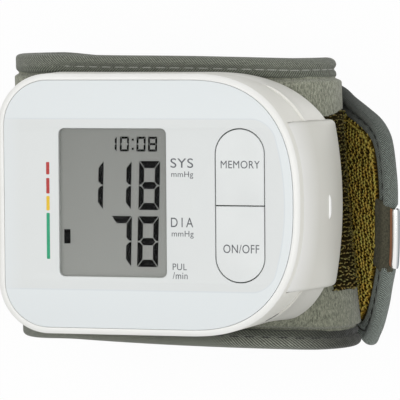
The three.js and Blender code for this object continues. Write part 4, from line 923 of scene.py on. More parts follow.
def shell_ring(inset, depth):
    """The housing's outside moved in by inset at a depth, flaring out to both sides as it goes down."""
    grow = RIM - inset
    flat = housing_outline(
        PANEL_LEFT + grow + LEFT_FLARE * depth, PANEL_RIGHT + grow + RIGHT_FLARE * depth,
        PANEL_HALF + grow, PANEL_CORNER + grow)
    z = np.broadcast_to(np.asarray(PANEL_Z - depth, float)[..., None], flat.shape[:-1])
    return np.concatenate([flat, z[..., None]], axis=-1)


def saddle_height(x, radius):
    """The height of a cylinder on the saddle's axis at a place across it."""
    return SADDLE_Z + np.sqrt(radius ** 2 - x ** 2)


def bow_x(reach, half, y):
    """Where the bowed end runs at a place y: the outline's superellipse, solved for x."""
    across = (1 - (np.abs(y) / half) ** BOW_EXPONENT) ** (1 / BOW_EXPONENT)
    return BOW_START + (reach - BOW_START) * across


def door_x(y, depth):
    """The door's outside: flush with the front case's side at its top, swelling out to a straighter line
    at the back."""
    front = bow_x(PANEL_RIGHT + RIM + RIGHT_FLARE * DOOR_TOP_DEPTH, PANEL_HALF + RIM, y)
    back = DOOR_BACK_X - DOOR_BACK_BOW * ((y - DOOR_MIDDLE) / DOOR_HALF) ** 2
    left = 1 - np.clip((depth - DOOR_TOP_DEPTH) / (DOOR_BACK_DEPTH - DOOR_TOP_DEPTH), 0, 1)
    return front + (back - front) * (1 - left ** DOOR_SWELL)


def quarter(start, end, steps, first):
    """Points of a quarter ellipse from start to end; first says which of the two values moves first."""
    a = np.linspace(0, math.pi / 2, steps)
    early, late = np.sin(a), 1 - np.cos(a)
    share = np.stack([early, late] if first == 0 else [late, early], axis=-1)
    return np.array(start) + (np.array(end) - np.array(start)) * share


def door_cutters():
    """The room for the door's face and the way out for the cells, as closed blocks to cut with."""
    y = np.linspace(DOOR_LOW - DOOR_GAP, DOOR_HIGH + DOOR_GAP, 40)[None]
    face_depth = np.append(np.linspace(DOOR_TOP_DEPTH - DOOR_GAP, DOOR_BACK_DEPTH, 9), CUT_DEPTH)[:, None]
    cutters = []
    for name, x, depth in (
        ("face_room", door_x(y, face_depth) - DOOR_WALL - FACE_ROOM, face_depth),
        ("cell_room", CELL_ROOM_X, np.array([[CELL_ROOM_TOP], [PANEL_Z - CELL_ROOM_FOOT]])),
    ):
        inner = stacked(x, y, PANEL_Z - depth)
        outer = stacked(CUT_REACH, y, PANEL_Z - depth)
        cutters.append(make_sheet(name, inner, outer, CASE_WHITE))
    return cutters


def cut_away(piece, cutters, crease=30):
    """Cuts closed blocks out of a piece and keeps the result as its plain mesh."""
    for cutter in cutters:
        cut = piece.modifiers.new(cutter.name, "BOOLEAN")
        cut.operation = "DIFFERENCE"
        cut.solver = "EXACT"
        cut.object = cutter
    bpy.context.view_layer.update()
    settled = piece.evaluated_get(bpy.context.evaluated_depsgraph_get())
    mesh = bpy.data.meshes.new_from_object(settled)
    piece.modifiers.clear()
    old = piece.data
    piece.data = mesh
    bpy.data.meshes.remove(old)
    mesh.shade_smooth()
    mesh.set_sharp_from_angle(angle=math.radians(crease))


def rim_rounding(steps):
    """The rim's (inset, depth) points: an arc from its top that stops short of the side's slope."""
    a = np.linspace(0, RIM_TURN, steps)
    return np.stack([
        RIM_ROUND * (1 - np.sin(a) / math.sin(RIM_TURN)),
        RIM_CREASE * (1 - np.cos(a)) / (1 - math.cos(RIM_TURN))], -1)


def make_front_case():
    """The front shell: one profile of (inset, depth) carried round the outline, from the rim's inner lip over
    its rounding to a crease and down the side to the parting line, then back up inside under the panel."""
    lip = RIM - LIP_GAP
    profile = np.concatenate([
        [[lip, LIP_DEPTH], [lip, LIP_TOP + LIP_ROUND]],
        quarter((lip, LIP_TOP + LIP_ROUND), (lip - LIP_ROUND, LIP_TOP), 4, 1),
        rim_rounding(12),
        np.stack([np.zeros(6), np.linspace(SIDE_START, PARTING_DEPTH - PARTING_ROUND - 0.1, 6)], -1),
        quarter((0.0, PARTING_DEPTH - PARTING_ROUND), (PARTING_ROUND, PARTING_DEPTH), 6, 1),
        [[WALL, PARTING_DEPTH], [WALL, LEDGE_DEPTH], [LEDGE_REACH, LEDGE_DEPTH], [LEDGE_REACH, LIP_DEPTH]],
    ])
    rings = shell_ring(profile[:, 0], profile[:, 1])
    piece = make_tube("front_case_shell", rings, CASE_WHITE, closed=True, crease=32)
    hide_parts("front_case")
    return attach(piece, "monitor")


def saddle_depth(inset, radius):
    """How deep each column of the outline runs before it meets a cylinder on the saddle's axis."""
    depth = np.full(shell_ring(inset, 0.0).shape[0], SADDLE_GUESS)
    for _ in range(SADDLE_ROUNDS):
        depth = PANEL_Z - saddle_height(column_x(inset, depth), radius)
    return depth


def column_x(inset, depth):
    """The outline's X in each column at that column's own depth; X changes evenly with depth."""
    top = shell_ring(inset, 0.0)[:, 0]
    return top + (shell_ring(inset, 1.0)[:, 0] - top) * depth


def make_rear_case():
    """The rear shell: down the side from the parting line to the saddle, in across the saddle to the middle,
    and the same again inside, one wall further in. The outside starts a little inside the front case, but
    stands proud round the bow, and its foot spreads at the bow's lower corner."""
    start = PARTING_DEPTH + PARTING_GAP
    drawn_in = (shell_ring(1.0, 0.0) - shell_ring(0.0, 0.0))[None, :, :2]
    walls = []
    middles = []
    for inset, lip, radius, steps in ((0.0, REAR_LIP, HOUSING_BACK, 14), (WALL, 0.0, HOUSING_FLOOR, 6)):
        share = np.linspace(0, 1, steps)[:, None]
        depth = start + lip + (saddle_depth(inset, radius) - start - lip) * share
        flat = shell_ring(inset, 0.0)[:, :2]
        side = stacked(column_x(inset, depth), flat[None, :, 1], PANEL_Z - depth)
        if lip:
            bow = ramp(flat[:, 0], *RIDGE_X)
            low_bow = bow * ramp(-flat[:, 1], *SKIRT_Y)
            near_top = 1 - ease((depth - start) / REAR_EASE)
            inward = (REAR_INSET * (1 - bow) - REAR_RIDGE * bow) * near_top - REAR_SKIRT * low_bow * share
            side[..., :2] += inward[..., None] * drawn_in
            side[..., 2] += share * (saddle_height(side[-1:, :, 0], radius) - side[-1:, :, 2])
        scale = np.linspace(1, 0, 9)[1:-1, None]
        floor_x = FLOOR_MIDDLE + (side[-1:, :, 0] - FLOOR_MIDDLE) * scale
        floor = stacked(floor_x, side[-1:, :, 1] * scale, saddle_height(floor_x, radius))
        walls.append(np.concatenate([side, floor]))
        middles.append((FLOOR_MIDDLE, 0, saddle_height(FLOOR_MIDDLE, radius)))
    edge = shell_ring(np.array([REAR_INSET + REAR_LIP]), np.array([start]))
    rings = np.concatenate([walls[0][::-1], edge, walls[1]])
    count, columns = rings.shape[:2]
    j = np.arange(columns)
    fans = []
    for ring_start, middle in ((0, count * columns), ((count - 1) * columns, count * columns + 1)):
        fans.append(np.stack([ring_start + j, ring_start + (j + 1) % columns, np.full(columns, middle)], -1))
    points = np.concatenate([rings.reshape(-1, 3), middles])
    face_sets = [grid_faces(count, columns, False, True), *fans]
    piece = make_piece("rear_case_shell", points, face_sets, REAR_WHITE)
    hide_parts("rear_case")
    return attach(piece, "monitor")


SLOT_FROM = 27.6
SLOT_TO = 31.4
SLOT_HALF = 0.7
SLOT_DEPTH = PARTING_DEPTH - 0.3
SLOT_PROUD = 0.05
SLOT_SUNK = 0.9


def make_pry_slot():
    """The small dark pry slot in the parting line at the bow's lower corner, as painted shade: a dark lens
    shape set into the case's skin, a hair proud of it, in place of the shaded hollow.
    """
    flat = shell_ring(0.0, 0.0)
    picked = (flat[:, 0] > SLOT_FROM) & (flat[:, 0] < SLOT_TO) & (flat[:, 1] < 0)
    along = (flat[picked, 0] - SLOT_FROM) / (SLOT_TO - SLOT_FROM) * 2 - 1
    half = SLOT_HALF * np.sqrt(np.clip(1 - along ** 2, 0.01, 1))
    depth = SLOT_DEPTH + np.linspace(-1, 1, 5)[None] * half[:, None]
    walls = []
    for inset in (-SLOT_PROUD, SLOT_SUNK):
        top = column_x(inset, 0.0)[picked, None]
        flare = column_x(inset, 1.0)[picked, None] - top
        walls.append(stacked(top + flare * depth, shell_ring(inset, 0.0)[picked, 1:2], PANEL_Z - depth))
    # painted shade: a dark solid where the slot's hollow would be
    piece = make_sheet("case_pry_slot_shade", *walls, INSIDE["dark_plastic"])
    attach(piece, "monitor")


def make_door():
    """The battery door: a face plate with rounded long edges and two end walls, one closed section in X and Y
    carried from the rim's outer edge down to the saddle."""
    inner_half = DOOR_HALF - DOOR_WALL
    straight = DOOR_HALF - DOOR_CORNER
    run = np.linspace(-straight, straight, 61)
    bend = np.linspace(0, math.pi / 2, 8)[1:]
    bend_y = straight + DOOR_CORNER * np.sin(bend)
    bend_in = DOOR_CORNER * (1 - np.cos(bend))
    face_y = np.concatenate([-bend_y[::-1], run, bend_y])
    face_in = np.concatenate([bend_in[::-1], np.zeros_like(run), bend_in])
    inner_y = np.clip(face_y * inner_half / (DOOR_HALF - DOOR_CORNER / 2), -inner_half, inner_half)
    share = np.concatenate([DOOR_TOP_ROWS, np.linspace(0.03, 0.93, 40), DOOR_FOOT_ROWS])[:, None]

    def down_to_saddle(away, inset):
        """Points of the section's lines at every depth, ended where each line meets the saddle."""
        y = DOOR_MIDDLE + away
        limit = np.full(y.shape, SADDLE_GUESS)
        for _ in range(SADDLE_ROUNDS):
            limit = PANEL_Z - saddle_height(door_x(y, limit) - inset, HOUSING_BACK)
        depth = DOOR_TOP_DEPTH + (limit - DOOR_TOP_DEPTH) * share
        return stacked(door_x(y, depth) - inset, y, PANEL_Z - depth)

    face = down_to_saddle(face_y, face_in)
    depth = PANEL_Z - face[..., 2]
    above_foot = (1 - depth / depth[-1:]) * SADDLE_GUESS
    foot = DOOR_FOOT_IN * (1 - np.sqrt(1 - np.clip(1 - above_foot / DOOR_FOOT_HIGH, 0, 1) ** 2))
    lip = DOOR_LIP_IN * np.clip(1 - (depth - DOOR_TOP_DEPTH) / DOOR_LIP_HIGH, 0, 1) ** 2
    face[..., 0] -= foot + lip
    sections = []
    for plate, half in ((face, DOOR_HALF), (down_to_saddle(inner_y, DOOR_WALL), inner_half)):
        ends = down_to_saddle(np.array([-half, half]), DOOR_RETURN)
        sections.append(np.concatenate([ends[:, :1], plate, ends[:, 1:]], axis=1))
    piece = make_sheet("battery_door_cover", *sections, DOOR_WHITE, crease=38)
    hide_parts("battery_door")
    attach(piece, "door")


def make_grip():
    """The push rib on the door: half an ellipsoid drawn out along Y, its foot just under the door's face."""
    a = np.linspace(0, 2 * math.pi, 32, endpoint=False)
    b = np.linspace(0, math.pi / 2, 7)[:, None]
    y = GRIP_Y + GRIP_HALF * np.sign(np.cos(a)) * np.abs(np.cos(a)) ** 0.35 * np.cos(b) ** 0.5
    depth = GRIP_DEPTH + GRIP_WIDE * np.sin(a) * np.cos(b) ** 0.7
    x = door_x(y, depth) - GRIP_SUNK + GRIP_RISE * np.sin(b)
    rings = stacked(x, y, PANEL_Z - depth)[:-1]
    piece = make_tube("battery_door_grip", rings, GRIP_WHITE, crease=50)
    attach(piece, "door")


def make_plate(name, outlines, low, high, edge, finish):
    """A flat plate with holes between two heights, its edges rounded, from closed outlines in X and Y."""
    data = bpy.data.curves.new(name, "CURVE")
    data.dimensions = "2D"
    data.fill_mode = "BOTH"
    data.extrude = ((high - low) / 2 - edge) * MM
    data.bevel_depth = edge * MM
    data.bevel_resolution = 2
    data.offset = -edge * MM
    for outline in outlines:
        spline = data.splines.new("POLY")
        spline.points.add(len(outline) - 1)
        flat = np.zeros((len(outline), 4))
        flat[:, :2] = outline * MM
        flat[:, 3] = 1
        spline.points.foreach_set("co", flat.ravel())
        spline.use_cyclic_u = True
    return settle_flat(name, data, (0, 0, (low + high) / 2), finish)


def settle_flat(name, data, place, finish):
    """Turns a flat curve or text into a mesh at its place."""
    maker = bpy.data.objects.new(name + "_flat", data)
    bpy.context.scene.collection.objects.link(maker)
    bpy.context.view_layer.update()
    mesh = bpy.data.meshes.new_from_object(maker.evaluated_get(bpy.context.evaluated_depsgraph_get()))
    bpy.data.objects.remove(maker)
    mesh.transform(Matrix.Translation(Vector(place) * MM))
    mesh.name = name
    mesh.materials.clear()
    work = bmesh.new()
    work.from_mesh(mesh)
    bmesh.ops.remove_doubles(work, verts=work.verts, dist=1e-7)
    work.to_mesh(mesh)
    work.free()
    return finish_mesh(name, mesh, finish, 30)


def rounded_rectangle(x, y, width, height, corner, steps=10):
    """The outline of a rectangle with quarter-circle corners, anticlockwise."""
    a = np.linspace(0, math.pi / 2, steps)
    turns = [np.stack([np.cos(a + k * math.pi / 2), np.sin(a + k * math.pi / 2)], -1) for k in range(4)]
    signs = ((1, 1), (-1, 1), (-1, -1), (1, -1))
    return np.concatenate([
        np.array([x + sx * (width / 2 - corner), y + sy * (height / 2 - corner)]) + corner * turn
        for (sx, sy), turn in zip(signs, turns)])


def key_hole():
    """The capsule hole for both keys, one gap wider than they are all round."""
    width = KEY_WIDTH + 2 * KEY_GAP
    return rounded_rectangle(KEY_X, 0, width, KEYS_HEIGHT + 2 * KEY_GAP, width / 2, 24)


def make_panel():
    """The front panel: the housing's outline with the window and the key hole let through it."""
    outline = housing_outline(PANEL_LEFT, PANEL_RIGHT, PANEL_HALF, PANEL_CORNER)
    outlines = [outline, rounded_rectangle(*WINDOW), key_hole()]
    piece = make_plate("front_panel_face", outlines, PANEL_Z - PANEL_THICK, PANEL_Z, PANEL_EDGE, PANEL_WHITE)
    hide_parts("front_panel")
    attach(piece, "monitor")


def make_keys():
    """Two half capsules, flush with the panel, one on either side of the divider."""
    a = np.linspace(0, math.pi, 30)
    radius = KEY_WIDTH / 2
    for name, body, side in (("memory_button", "memory_key", 1), ("on_off_button", "on_off_key", -1)):
        arc_x = KEY_X + radius * np.cos(a)
        arc_y = side * (KEYS_HEIGHT / 2 - radius + radius * np.sin(a))
        ends = np.array([[KEY_X - radius, side * KEY_GAP / 2], [KEY_X + radius, side * KEY_GAP / 2]])
        outline = np.concatenate([np.stack([arc_x, arc_y], -1), ends])
        top = node_box(name)[1][2]
        piece = make_plate(name + "_cap", [outline], PANEL_Z - KEY_DEPTH, top, KEY_EDGE, KEY_WHITE)
        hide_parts(name)
        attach(piece, body)


def make_lens():
    """The clear window's plate, a hair smaller than its hole."""
    x, y, width, height, corner = WINDOW
    low, high = node_box("display_lens")
    outline = rounded_rectangle(x, y, width - LENS_SLACK, height - LENS_SLACK, corner)
    piece = make_plate("display_lens_window", [outline], low[2], high[2], LENS_EDGE, CLEAR_LENS)
    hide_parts("display_lens")
    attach(piece, "monitor")


# What the display shows and what is printed on the panel

SEGMENTS = {"0": "abcdef", "1": "bc", "7": "abc", "8": "abcdefg"}
SLANT = 0.028
SEGMENT_SLACK = 0.09  # between the bars of a digit, per stroke
FILM_CLEAR = 0.15  # between the window and the film's face
FILM_OVER = 0.8  # how much wider and taller the film is than the window
FILM_THICK = 0.4
LABEL_RISE = 0.014
LEVEL_BAR_X = -29.5
LEVEL_BAR_WIDTH = 0.95
DOT_CORNER = 0.1

# Rows of figures: foot, digit width and height, upright and beam strokes, and each digit's right edge
FIGURES = (
    (-1.45, 6.0, 13.5, 1.45, 1.95, ((-13.75, "1"), (-5.65, "1"), (2.55, "8"))),
    (-17.2, 6.0, 14.0, 1.5, 2.0, ((-5.7, "7"), (2.05, "8"))),
    (14.65, 2.6, 4.1, 0.56, 0.6, ((-9.75, "1"), (-6.22, "0"), (-1.42, "0"), (1.9, "8"))),
)

# The clock's two dots and the level block: middle x and y, width, height
BLOCKS = ((-5.09, 17.9, 0.6, 0.6), (-5.09, 15.4, 0.6, 0.6), (-24.33, -9.02, 1.8, 3.96))

# Printed words: name, words, box of (left, foot, right, top), body and letter spacing
LABELS = (
    ("label_systolic", "SYS", (6.05, 10.3, 12.5, 12.9), "monitor"),
    ("label_systolic_unit", "mmHg", (6.25, 7.3, 12.5, 9.3), "monitor"),
    ("label_diastolic", "DIA", (6.05, -6.0, 12.4, -3.4), "monitor", 1.5),
    ("label_diastolic_unit", "mmHg", (6.25, -9.1, 12.5, -7.0), "monitor"),
    ("label_pulse", "PUL", (6.45, -17.85, 10.5, -16.05), "monitor"),
    ("label_pulse_unit", "/min", (6.45, -20.3, 10.7, -18.4), "monitor"),
    ("label_memory", "MEMORY", (20.35, 10.25, 31.4, 12.35), "memory_key"),
    ("label_on_off", "ON/OFF", (20.95, -12.95, 31.1, -10.6), "on_off_key"),
)

# The level scale's bars: name, ink, foot and top
LEVEL_BARS = (
    ("level_bar_red_1", RED_INK, 8.2, 11.65), ("level_bar_red_2", RED_INK, 2.9, 7.2),
    ("level_bar_yellow", YELLOW_INK, -1.8, 2.2), ("level_bar_green", GREEN_INK, -15.3, -2.5),
)


def digit_outlines(sign, right, foot, width, height, stroke, beam):
    """The lit segments of one digit: bars of a seven-segment figure cut off at slants where they meet. The
    top bar and the upper left upright are mirrored in the digit's middle lines to make the others."""
    slack = stroke * SEGMENT_SLACK
    middle = height / 2
    tip = beam / 2
    near = stroke + slack
    far = width - near
    top = np.array([(slack * 1.5, 0), (width - slack * 1.5, 0), (far, beam), (near, beam)])
    upright = np.array([
        (0, slack), (0, middle - slack), (stroke * 0.45, middle - slack * 2), (stroke, middle - tip - slack),
        (stroke, beam + slack)])
    bar = np.array([
        (stroke / 2 + slack, middle), (near, middle - tip), (far, middle - tip),
        (width - stroke / 2 - slack, middle), (far, middle + tip), (near, middle + tip)])
    shapes = {
        "a": top, "d": top * [1, -1] + [0, height], "g": bar,
        "f": upright, "b": upright * [-1, 1] + [width, 0],
        "e": upright * [1, -1] + [0, height], "c": upright * [-1, -1] + [width, height],
    }
    outlines = []
    for segment in SEGMENTS[sign]:
        y = foot + height - shapes[segment][:, 1]
        x = right - width + shapes[segment][:, 0] + SLANT * (y - foot - middle)
        outlines.append(np.stack([x, y], -1))
    return outlines


def make_display():
    """The display's grey front film close under the window, with dark figures on it: two rows of tall digits,
    the clock and the level block."""
    top = node_box("display_lens")[0][2] - FILM_CLEAR
    x, y, width, height, corner = WINDOW
    film = rounded_rectangle(x, y, width + FILM_OVER, height + FILM_OVER, corner)
    piece = make_plate("display_film", [film], top - FILM_THICK, top, 0.05, DISPLAY_GREY)
    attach(piece, "monitor")
    outlines = []
    for *sizes, digits in FIGURES:
        for right, sign in digits:
            outlines += digit_outlines(sign, right, *sizes)
    outlines += [rounded_rectangle(*block, DOT_CORNER, 4) for block in BLOCKS]
    piece = make_plate("display_digits", outlines, top + 0.02, top + 0.08, 0.01, SEGMENT_INK)
    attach(piece, "monitor")


def make_label(name, words, box, body, spacing=1.06):
    """Plain printed words that fill a box of (left, foot, right, top) on the front face."""
    data = bpy.data.curves.new(name, "FONT")
    data.body = words
    data.size = 3 * MM
    data.extrude = 0.008 * MM
    data.space_character = spacing
    piece = settle_flat(name, data, (0, 0, 0), LABEL_INK)
    points = np.empty(len(piece.data.vertices) * 3)
    piece.data.vertices.foreach_get("co", points)
    points = points.reshape(-1, 3) / MM
    low, high = points.min(0), points.max(0)
    corner, far_corner = np.array(box[:2]), np.array(box[2:])
    share = (points[:, :2] - low[:2]) / (high - low)[:2]
    points[:, :2] = corner + share * (far_corner - corner)
    points[:, 2] += PANEL_Z + LABEL_RISE
    piece.data.vertices.foreach_set("co", (points * MM).ravel())
    piece.data.update()
    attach(piece, body)


def make_print():
    """The words beside the figures and on the keys, and the coloured bars of the level scale."""
    for label in LABELS:
        make_label(*label)
    for name, colour, low, high in LEVEL_BARS:
        outline = rounded_rectangle(LEVEL_BAR_X, (low + high) / 2, LEVEL_BAR_WIDTH, high - low, 0.2, 4)
        piece = make_plate(name, [outline], PANEL_Z + 0.005, PANEL_Z + 0.025, 0.005, colour)
        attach(piece, "monitor")


# Cuff

RIGHT_TURN = math.asin((RIGHT_REACH - RIGHT_RADIUS) / (SADDLE_RADIUS - RIGHT_RADIUS))
LEFT_TURN = math.asin((LEFT_REACH - LEFT_RADIUS) / (SADDLE_RADIUS - LEFT_RADIUS))
RIGHT_MIDDLE = np.array([
    RIGHT_REACH - RIGHT_RADIUS, SADDLE_Z + (SADDLE_RADIUS - RIGHT_RADIUS) * math.cos(RIGHT_TURN)])
LOW_RADIUS = SADDLE_Z + (SADDLE_RADIUS - LEFT_RADIUS) * math.cos(LEFT_TURN)
BASE_LEFT = LOW_RADIUS - LEFT_REACH
BASE_RIGHT = HINGE[0] - (TURN_RADIUS - VELOUR / 2) * math.sin(TONGUE_RISE)
QUARTER_TURN = math.pi / 2
STRAIGHT = np.inf

# Each stretch of the roll's outer surface, from the short end: its radius and its length
STRETCHES = np.array([
    (RIGHT_RADIUS, RIGHT_RADIUS * (QUARTER_TURN - RIGHT_TURN - SHORT_END_ANGLE)),
    (SADDLE_RADIUS, SADDLE_RADIUS * (RIGHT_TURN + LEFT_TURN)),
    (LEFT_RADIUS, LEFT_RADIUS * (QUARTER_TURN - LEFT_TURN)),
    (LOW_RADIUS, LOW_RADIUS * QUARTER_TURN),
    (STRAIGHT, BASE_RIGHT - BASE_LEFT),
    (TURN_RADIUS, TURN_RADIUS * TONGUE_RISE),
    (STRAIGHT, TONGUE_LENGTH),
])
STRETCH_START = np.concatenate([[0], np.cumsum(STRETCHES[:, 1])[:-1]])
STRETCH_ANGLE = SHORT_END_ANGLE + np.concatenate([[0], np.cumsum(STRETCHES[:, 1] / STRETCHES[:, 0])[:-1]])
ROLL_LENGTH = STRETCH_START[-1]
LINING_END = ROLL_LENGTH - 17.0


def stretch_step(radius, angle, length):
    """How far a stretch has moved in X and Z after a length, round its arc or along its tangent."""
    straight = np.isinf(radius)
    bend = np.where(straight, 1.0, radius)
    turned = angle + np.where(straight, 0.0, length / bend)
    step_x = np.where(straight, -length * np.sin(angle), bend * (np.cos(turned) - np.cos(angle)))
    step_z = np.where(straight, length * np.cos(angle), bend * (np.sin(turned) - np.sin(angle)))
    return step_x, step_z, turned


FIRST_POINT = RIGHT_MIDDLE + RIGHT_RADIUS * np.array([math.cos(SHORT_END_ANGLE), math.sin(SHORT_END_ANGLE)])
STRETCH_MOVES = np.stack(stretch_step(STRETCHES[:, 0], STRETCH_ANGLE, STRETCHES[:, 1])[:2], -1)
STRETCH_POINT = FIRST_POINT + np.concatenate([[[0, 0]], np.cumsum(STRETCH_MOVES, axis=0)[:-1]])


def on_cuff(length, y, height):
    """The point a height outside the cuff's outer surface, at a length from its short end and a place y along
    the wrist. The right-hand bend leans and the left-hand one swells: X shifts with y, more and more from the
    bend's start to its full reach. The whole roll sits a little turned, so y falls as X grows, and its
    underside sits a little lower along Y than its top."""
    length, y, height = np.broadcast_arrays(length, y, height)
    k = np.clip(np.searchsorted(STRETCH_START, length, side="right") - 1, 0, len(STRETCHES) - 1)
    step_x, step_z, angle = stretch_step(STRETCHES[k, 0], STRETCH_ANGLE[k], length - STRETCH_START[k])
    x = STRETCH_POINT[k, 0] + step_x + height * np.cos(angle)
    z = STRETCH_POINT[k, 1] + step_z + height * np.sin(angle)
    lean = LEAN[0] + LEAN[1] * y + LEAN[2] * y * y - EDGE_DRAW * ramp(y, *EDGE_Y)
    lean = lean * ramp(x, *LEAN_X)
    left = ramp(x, *LEFT_X)
    swell = (LEFT_SWELL[0] + LEFT_SWELL[1] * y) * left
    upper = UPPER_SPREAD * ramp(x, *UPPER_X)
    spread = 1 + np.where(y < 0, LOWER_SPREAD + LEFT_SPREAD * left, upper)
    spread = spread - SHORT_DRAW * (1 - ease(length / SHORT_DRAW_LENGTH))
    turned = SKEW * (np.clip(x, *SKEW_X) - SKEW_MIDDLE)
    tucked = TUCK * ramp(z, *TUCK_Z)
    return np.stack([x + lean - swell, y * spread - turned - tucked, z], axis=-1)


# The edge tape's section: (distance in from the edge, height), puffed outside a sewn groove
BINDING_FACE = [
    (5.5, 0.9), (5.3, 1.7), (4.6, 2.0), (3.75, 1.85), (3.35, 1.45), (2.95, 1.85), (2.0, 2.45), (0.95, 2.2),
    (0.25, 1.3)]
BINDING_SECTION = smooth_loop(
    BINDING_FACE + [(0.0, 0.0)] + [(e, -h) for e, h in BINDING_FACE[::-1]], 3)
SECTION_IN, SECTION_UP = BINDING_SECTION.T
SECTION_HALF = 2.75  # half the folded tape's width
TAPE_STEP = 0.75  # between rings along a tape
STITCH_LINE = 3.35
STITCH_PITCH = 4.2
STITCH_LENGTH = 3.2
STITCH_RISE = 1.42  # the sewn groove's height over the tape's middle
PUCKER = 0.16
PUCKER_WIDTH = 1.3
YARN_SIDES = 5
PRESSED_HALF = 2.75  # half the tape's thickness round the left-hand bend
PRESSED_EASE = 12.0


def puckered(along):
    """The section's heights at lengths along a tape, drawn in a little at each stitch, swelling between."""
    near = np.exp(-((SECTION_IN - STITCH_LINE) / PUCKER_WIDTH) ** 2)
    wave = np.cos(2 * math.pi * along[:, None] / STITCH_PITCH)
    return SECTION_UP * (1 - PUCKER * 0.5 * near * (1 + wave))


def make_tape(name, rings, along, finish):
    """A tape from its section's rings, with the tape's own lengths along and across it for its weave."""
    uv = stacked(along[:, None], around(BINDING_SECTION)[None])
    return make_tube(name, rings, finish, uv, crease=70)


def make_roll_binding(name, side):
    """One long edge tape: its section carried round the roll, at the upper or the lower edge. Round the
    left-hand bend it is fuller and pressed square, a rounded box in section."""
    along = np.arange(0, ROLL_LENGTH + SPLIT + 0.4, TAPE_STEP)
    box = np.sqrt(np.clip(1 - np.abs(SECTION_IN / SECTION_HALF - 1) ** 6, 0.02, 1))
    square = box * PRESSED_HALF * np.sign(SECTION_UP)
    bend_end = STRETCH_START[3] + STRETCHES[3, 1] / 2
    pressed = ease((along - STRETCH_START[2] + PRESSED_EASE / 2) / PRESSED_EASE)
    pressed = (pressed * (1 - ramp(along, STRETCH_START[3], bend_end)))[:, None]
    height = puckered(along)
    height = BINDING_MIDDLE + height + (square[None] - height) * pressed
    rings = on_cuff(along[:, None], side * (CUFF_HALF - SECTION_IN)[None], height)
    piece = make_tape(name + "_tape", rings, along, EDGE_TWILL if side > 0 else LOWER_TWILL)
    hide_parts(name)
    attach(piece, "monitor")
    middles = np.arange(STITCH_PITCH, along[-1] - 1, STITCH_PITCH)
    y = np.full_like(middles, side * (CUFF_HALF - STITCH_LINE))
    thread = STITCH_THREAD if side > 0 else DARK_THREAD
    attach(sew(name + "_stitches", middles, y, BINDING_MIDDLE, thread), "monitor")


def stitch_shape():
    """One stitch: a thread that dips into the cloth at both ends, as rings along X."""
    rings = 7
    t = np.linspace(-1, 1, rings)[:, None]
    a = np.arange(YARN_SIDES + 1) * 2 * math.pi / (YARN_SIDES + 1)
    thick = 0.16 * np.sqrt(1.02 - t ** 4)
    rise = 0.3 * (1 - t ** 2) - 0.12
    points = stacked(STITCH_LENGTH / 2 * t, thick * np.cos(a), rise + thick * np.sin(a))
    return points.reshape(-1, 3), tube_faces(rings, len(a))


def sew(name, length, y, middle, thread, turn=0.0):
    """Stitches along a sewn groove on both faces of an edge tape; turn is the seam's angle on the cloth."""
    shape, faces = stitch_shape()
    places, turns = [], []
    for side in (1, -1):
        height = middle + side * STITCH_RISE
        here = on_cuff(length, y, height)
        along = unit(on_cuff(length + 0.3 * np.cos(turn), y + 0.3 * np.sin(turn), height) - here)
        out = unit(on_cuff(length, y, height + side) - here)
        places.append(here)
        turns.append(np.stack([along, np.cross(out, along), out], axis=1))
    piece = make_copies(name, shape, faces, np.concatenate(places), np.concatenate(turns), thread)
    return piece


def bend_with_tongue(piece):
    """Bakes a piece's place into its mesh and leaves it unattached."""
    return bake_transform(piece)


def make_short_end():
    """The tape on the roll's short end: the same section, carried along the wrist."""
    y = np.linspace(-SHORT_END_HALF, SHORT_END_HALF, 98)
    rings = on_cuff(SECTION_IN[None] + 0.05, y[:, None], BINDING_MIDDLE + 0.97 * puckered(y))
    piece = make_tape("short_end_tape", rings, y, EDGE_TWILL)
    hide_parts("short_end_binding")
    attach(piece, "monitor")


def shoulder(y, half, width):
    """How far the padded middle falls towards its edge tapes: nothing inside, then a rounded slope."""
    return ease((np.abs(y) - (half - width)) / width)


def make_velour():
    """The cuff's padded outer layer: flat over its middle, falling to a groove beside each tape, more steeply
    round the two bends, with slow shallow waves."""
    along = np.arange(CLOTH_START, ROLL_LENGTH + SPLIT + 0.5, 1.2)[:, None]
    side = np.linspace(VELOUR_HALF - 4.0, VELOUR_HALF, 17)
    y = np.concatenate([-side[::-1], np.linspace(4.8 - VELOUR_HALF, VELOUR_HALF - 4.8, 55), side])[None]
    groove = np.exp(-((np.abs(y) - GROOVE_Y) / GROOVE_WIDTH) ** 2)
    right_bend = between(along, *RIGHT_STEEP)
    left_bend = between(along - STRETCH_START[3], *LEFT_STEEP)
    slope = shoulder(y, VELOUR_HALF, SHOULDER - RIGHT_STEEPER * right_bend - LEFT_STEEPER * left_bend)
    fall = SHOULDER_FALL * slope + GROOVE_FALL * groove
    wave = 0.12 * np.sin(along * 0.21 + 0.6 * np.sin(y * 0.13)) * np.cos(y * 0.17) * (1 - slope)
    taper = VELOUR_TAPER * (1 - ease((along - CLOTH_START) / TAPER_LENGTH))
    top = on_cuff(along, y, np.minimum(-fall - taper + wave - VELOUR_SUNK, 0.0))
    bottom = on_cuff(along, y, -VELOUR - UNDER_TAPE * ramp(np.abs(y), *UNDER_TAPE_Y) - taper)
    piece = make_sheet("cuff_velour_pad", top, bottom, VELOUR_CLOTH, stacked(along, y))
    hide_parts("cuff_velour")
    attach(piece, "monitor")


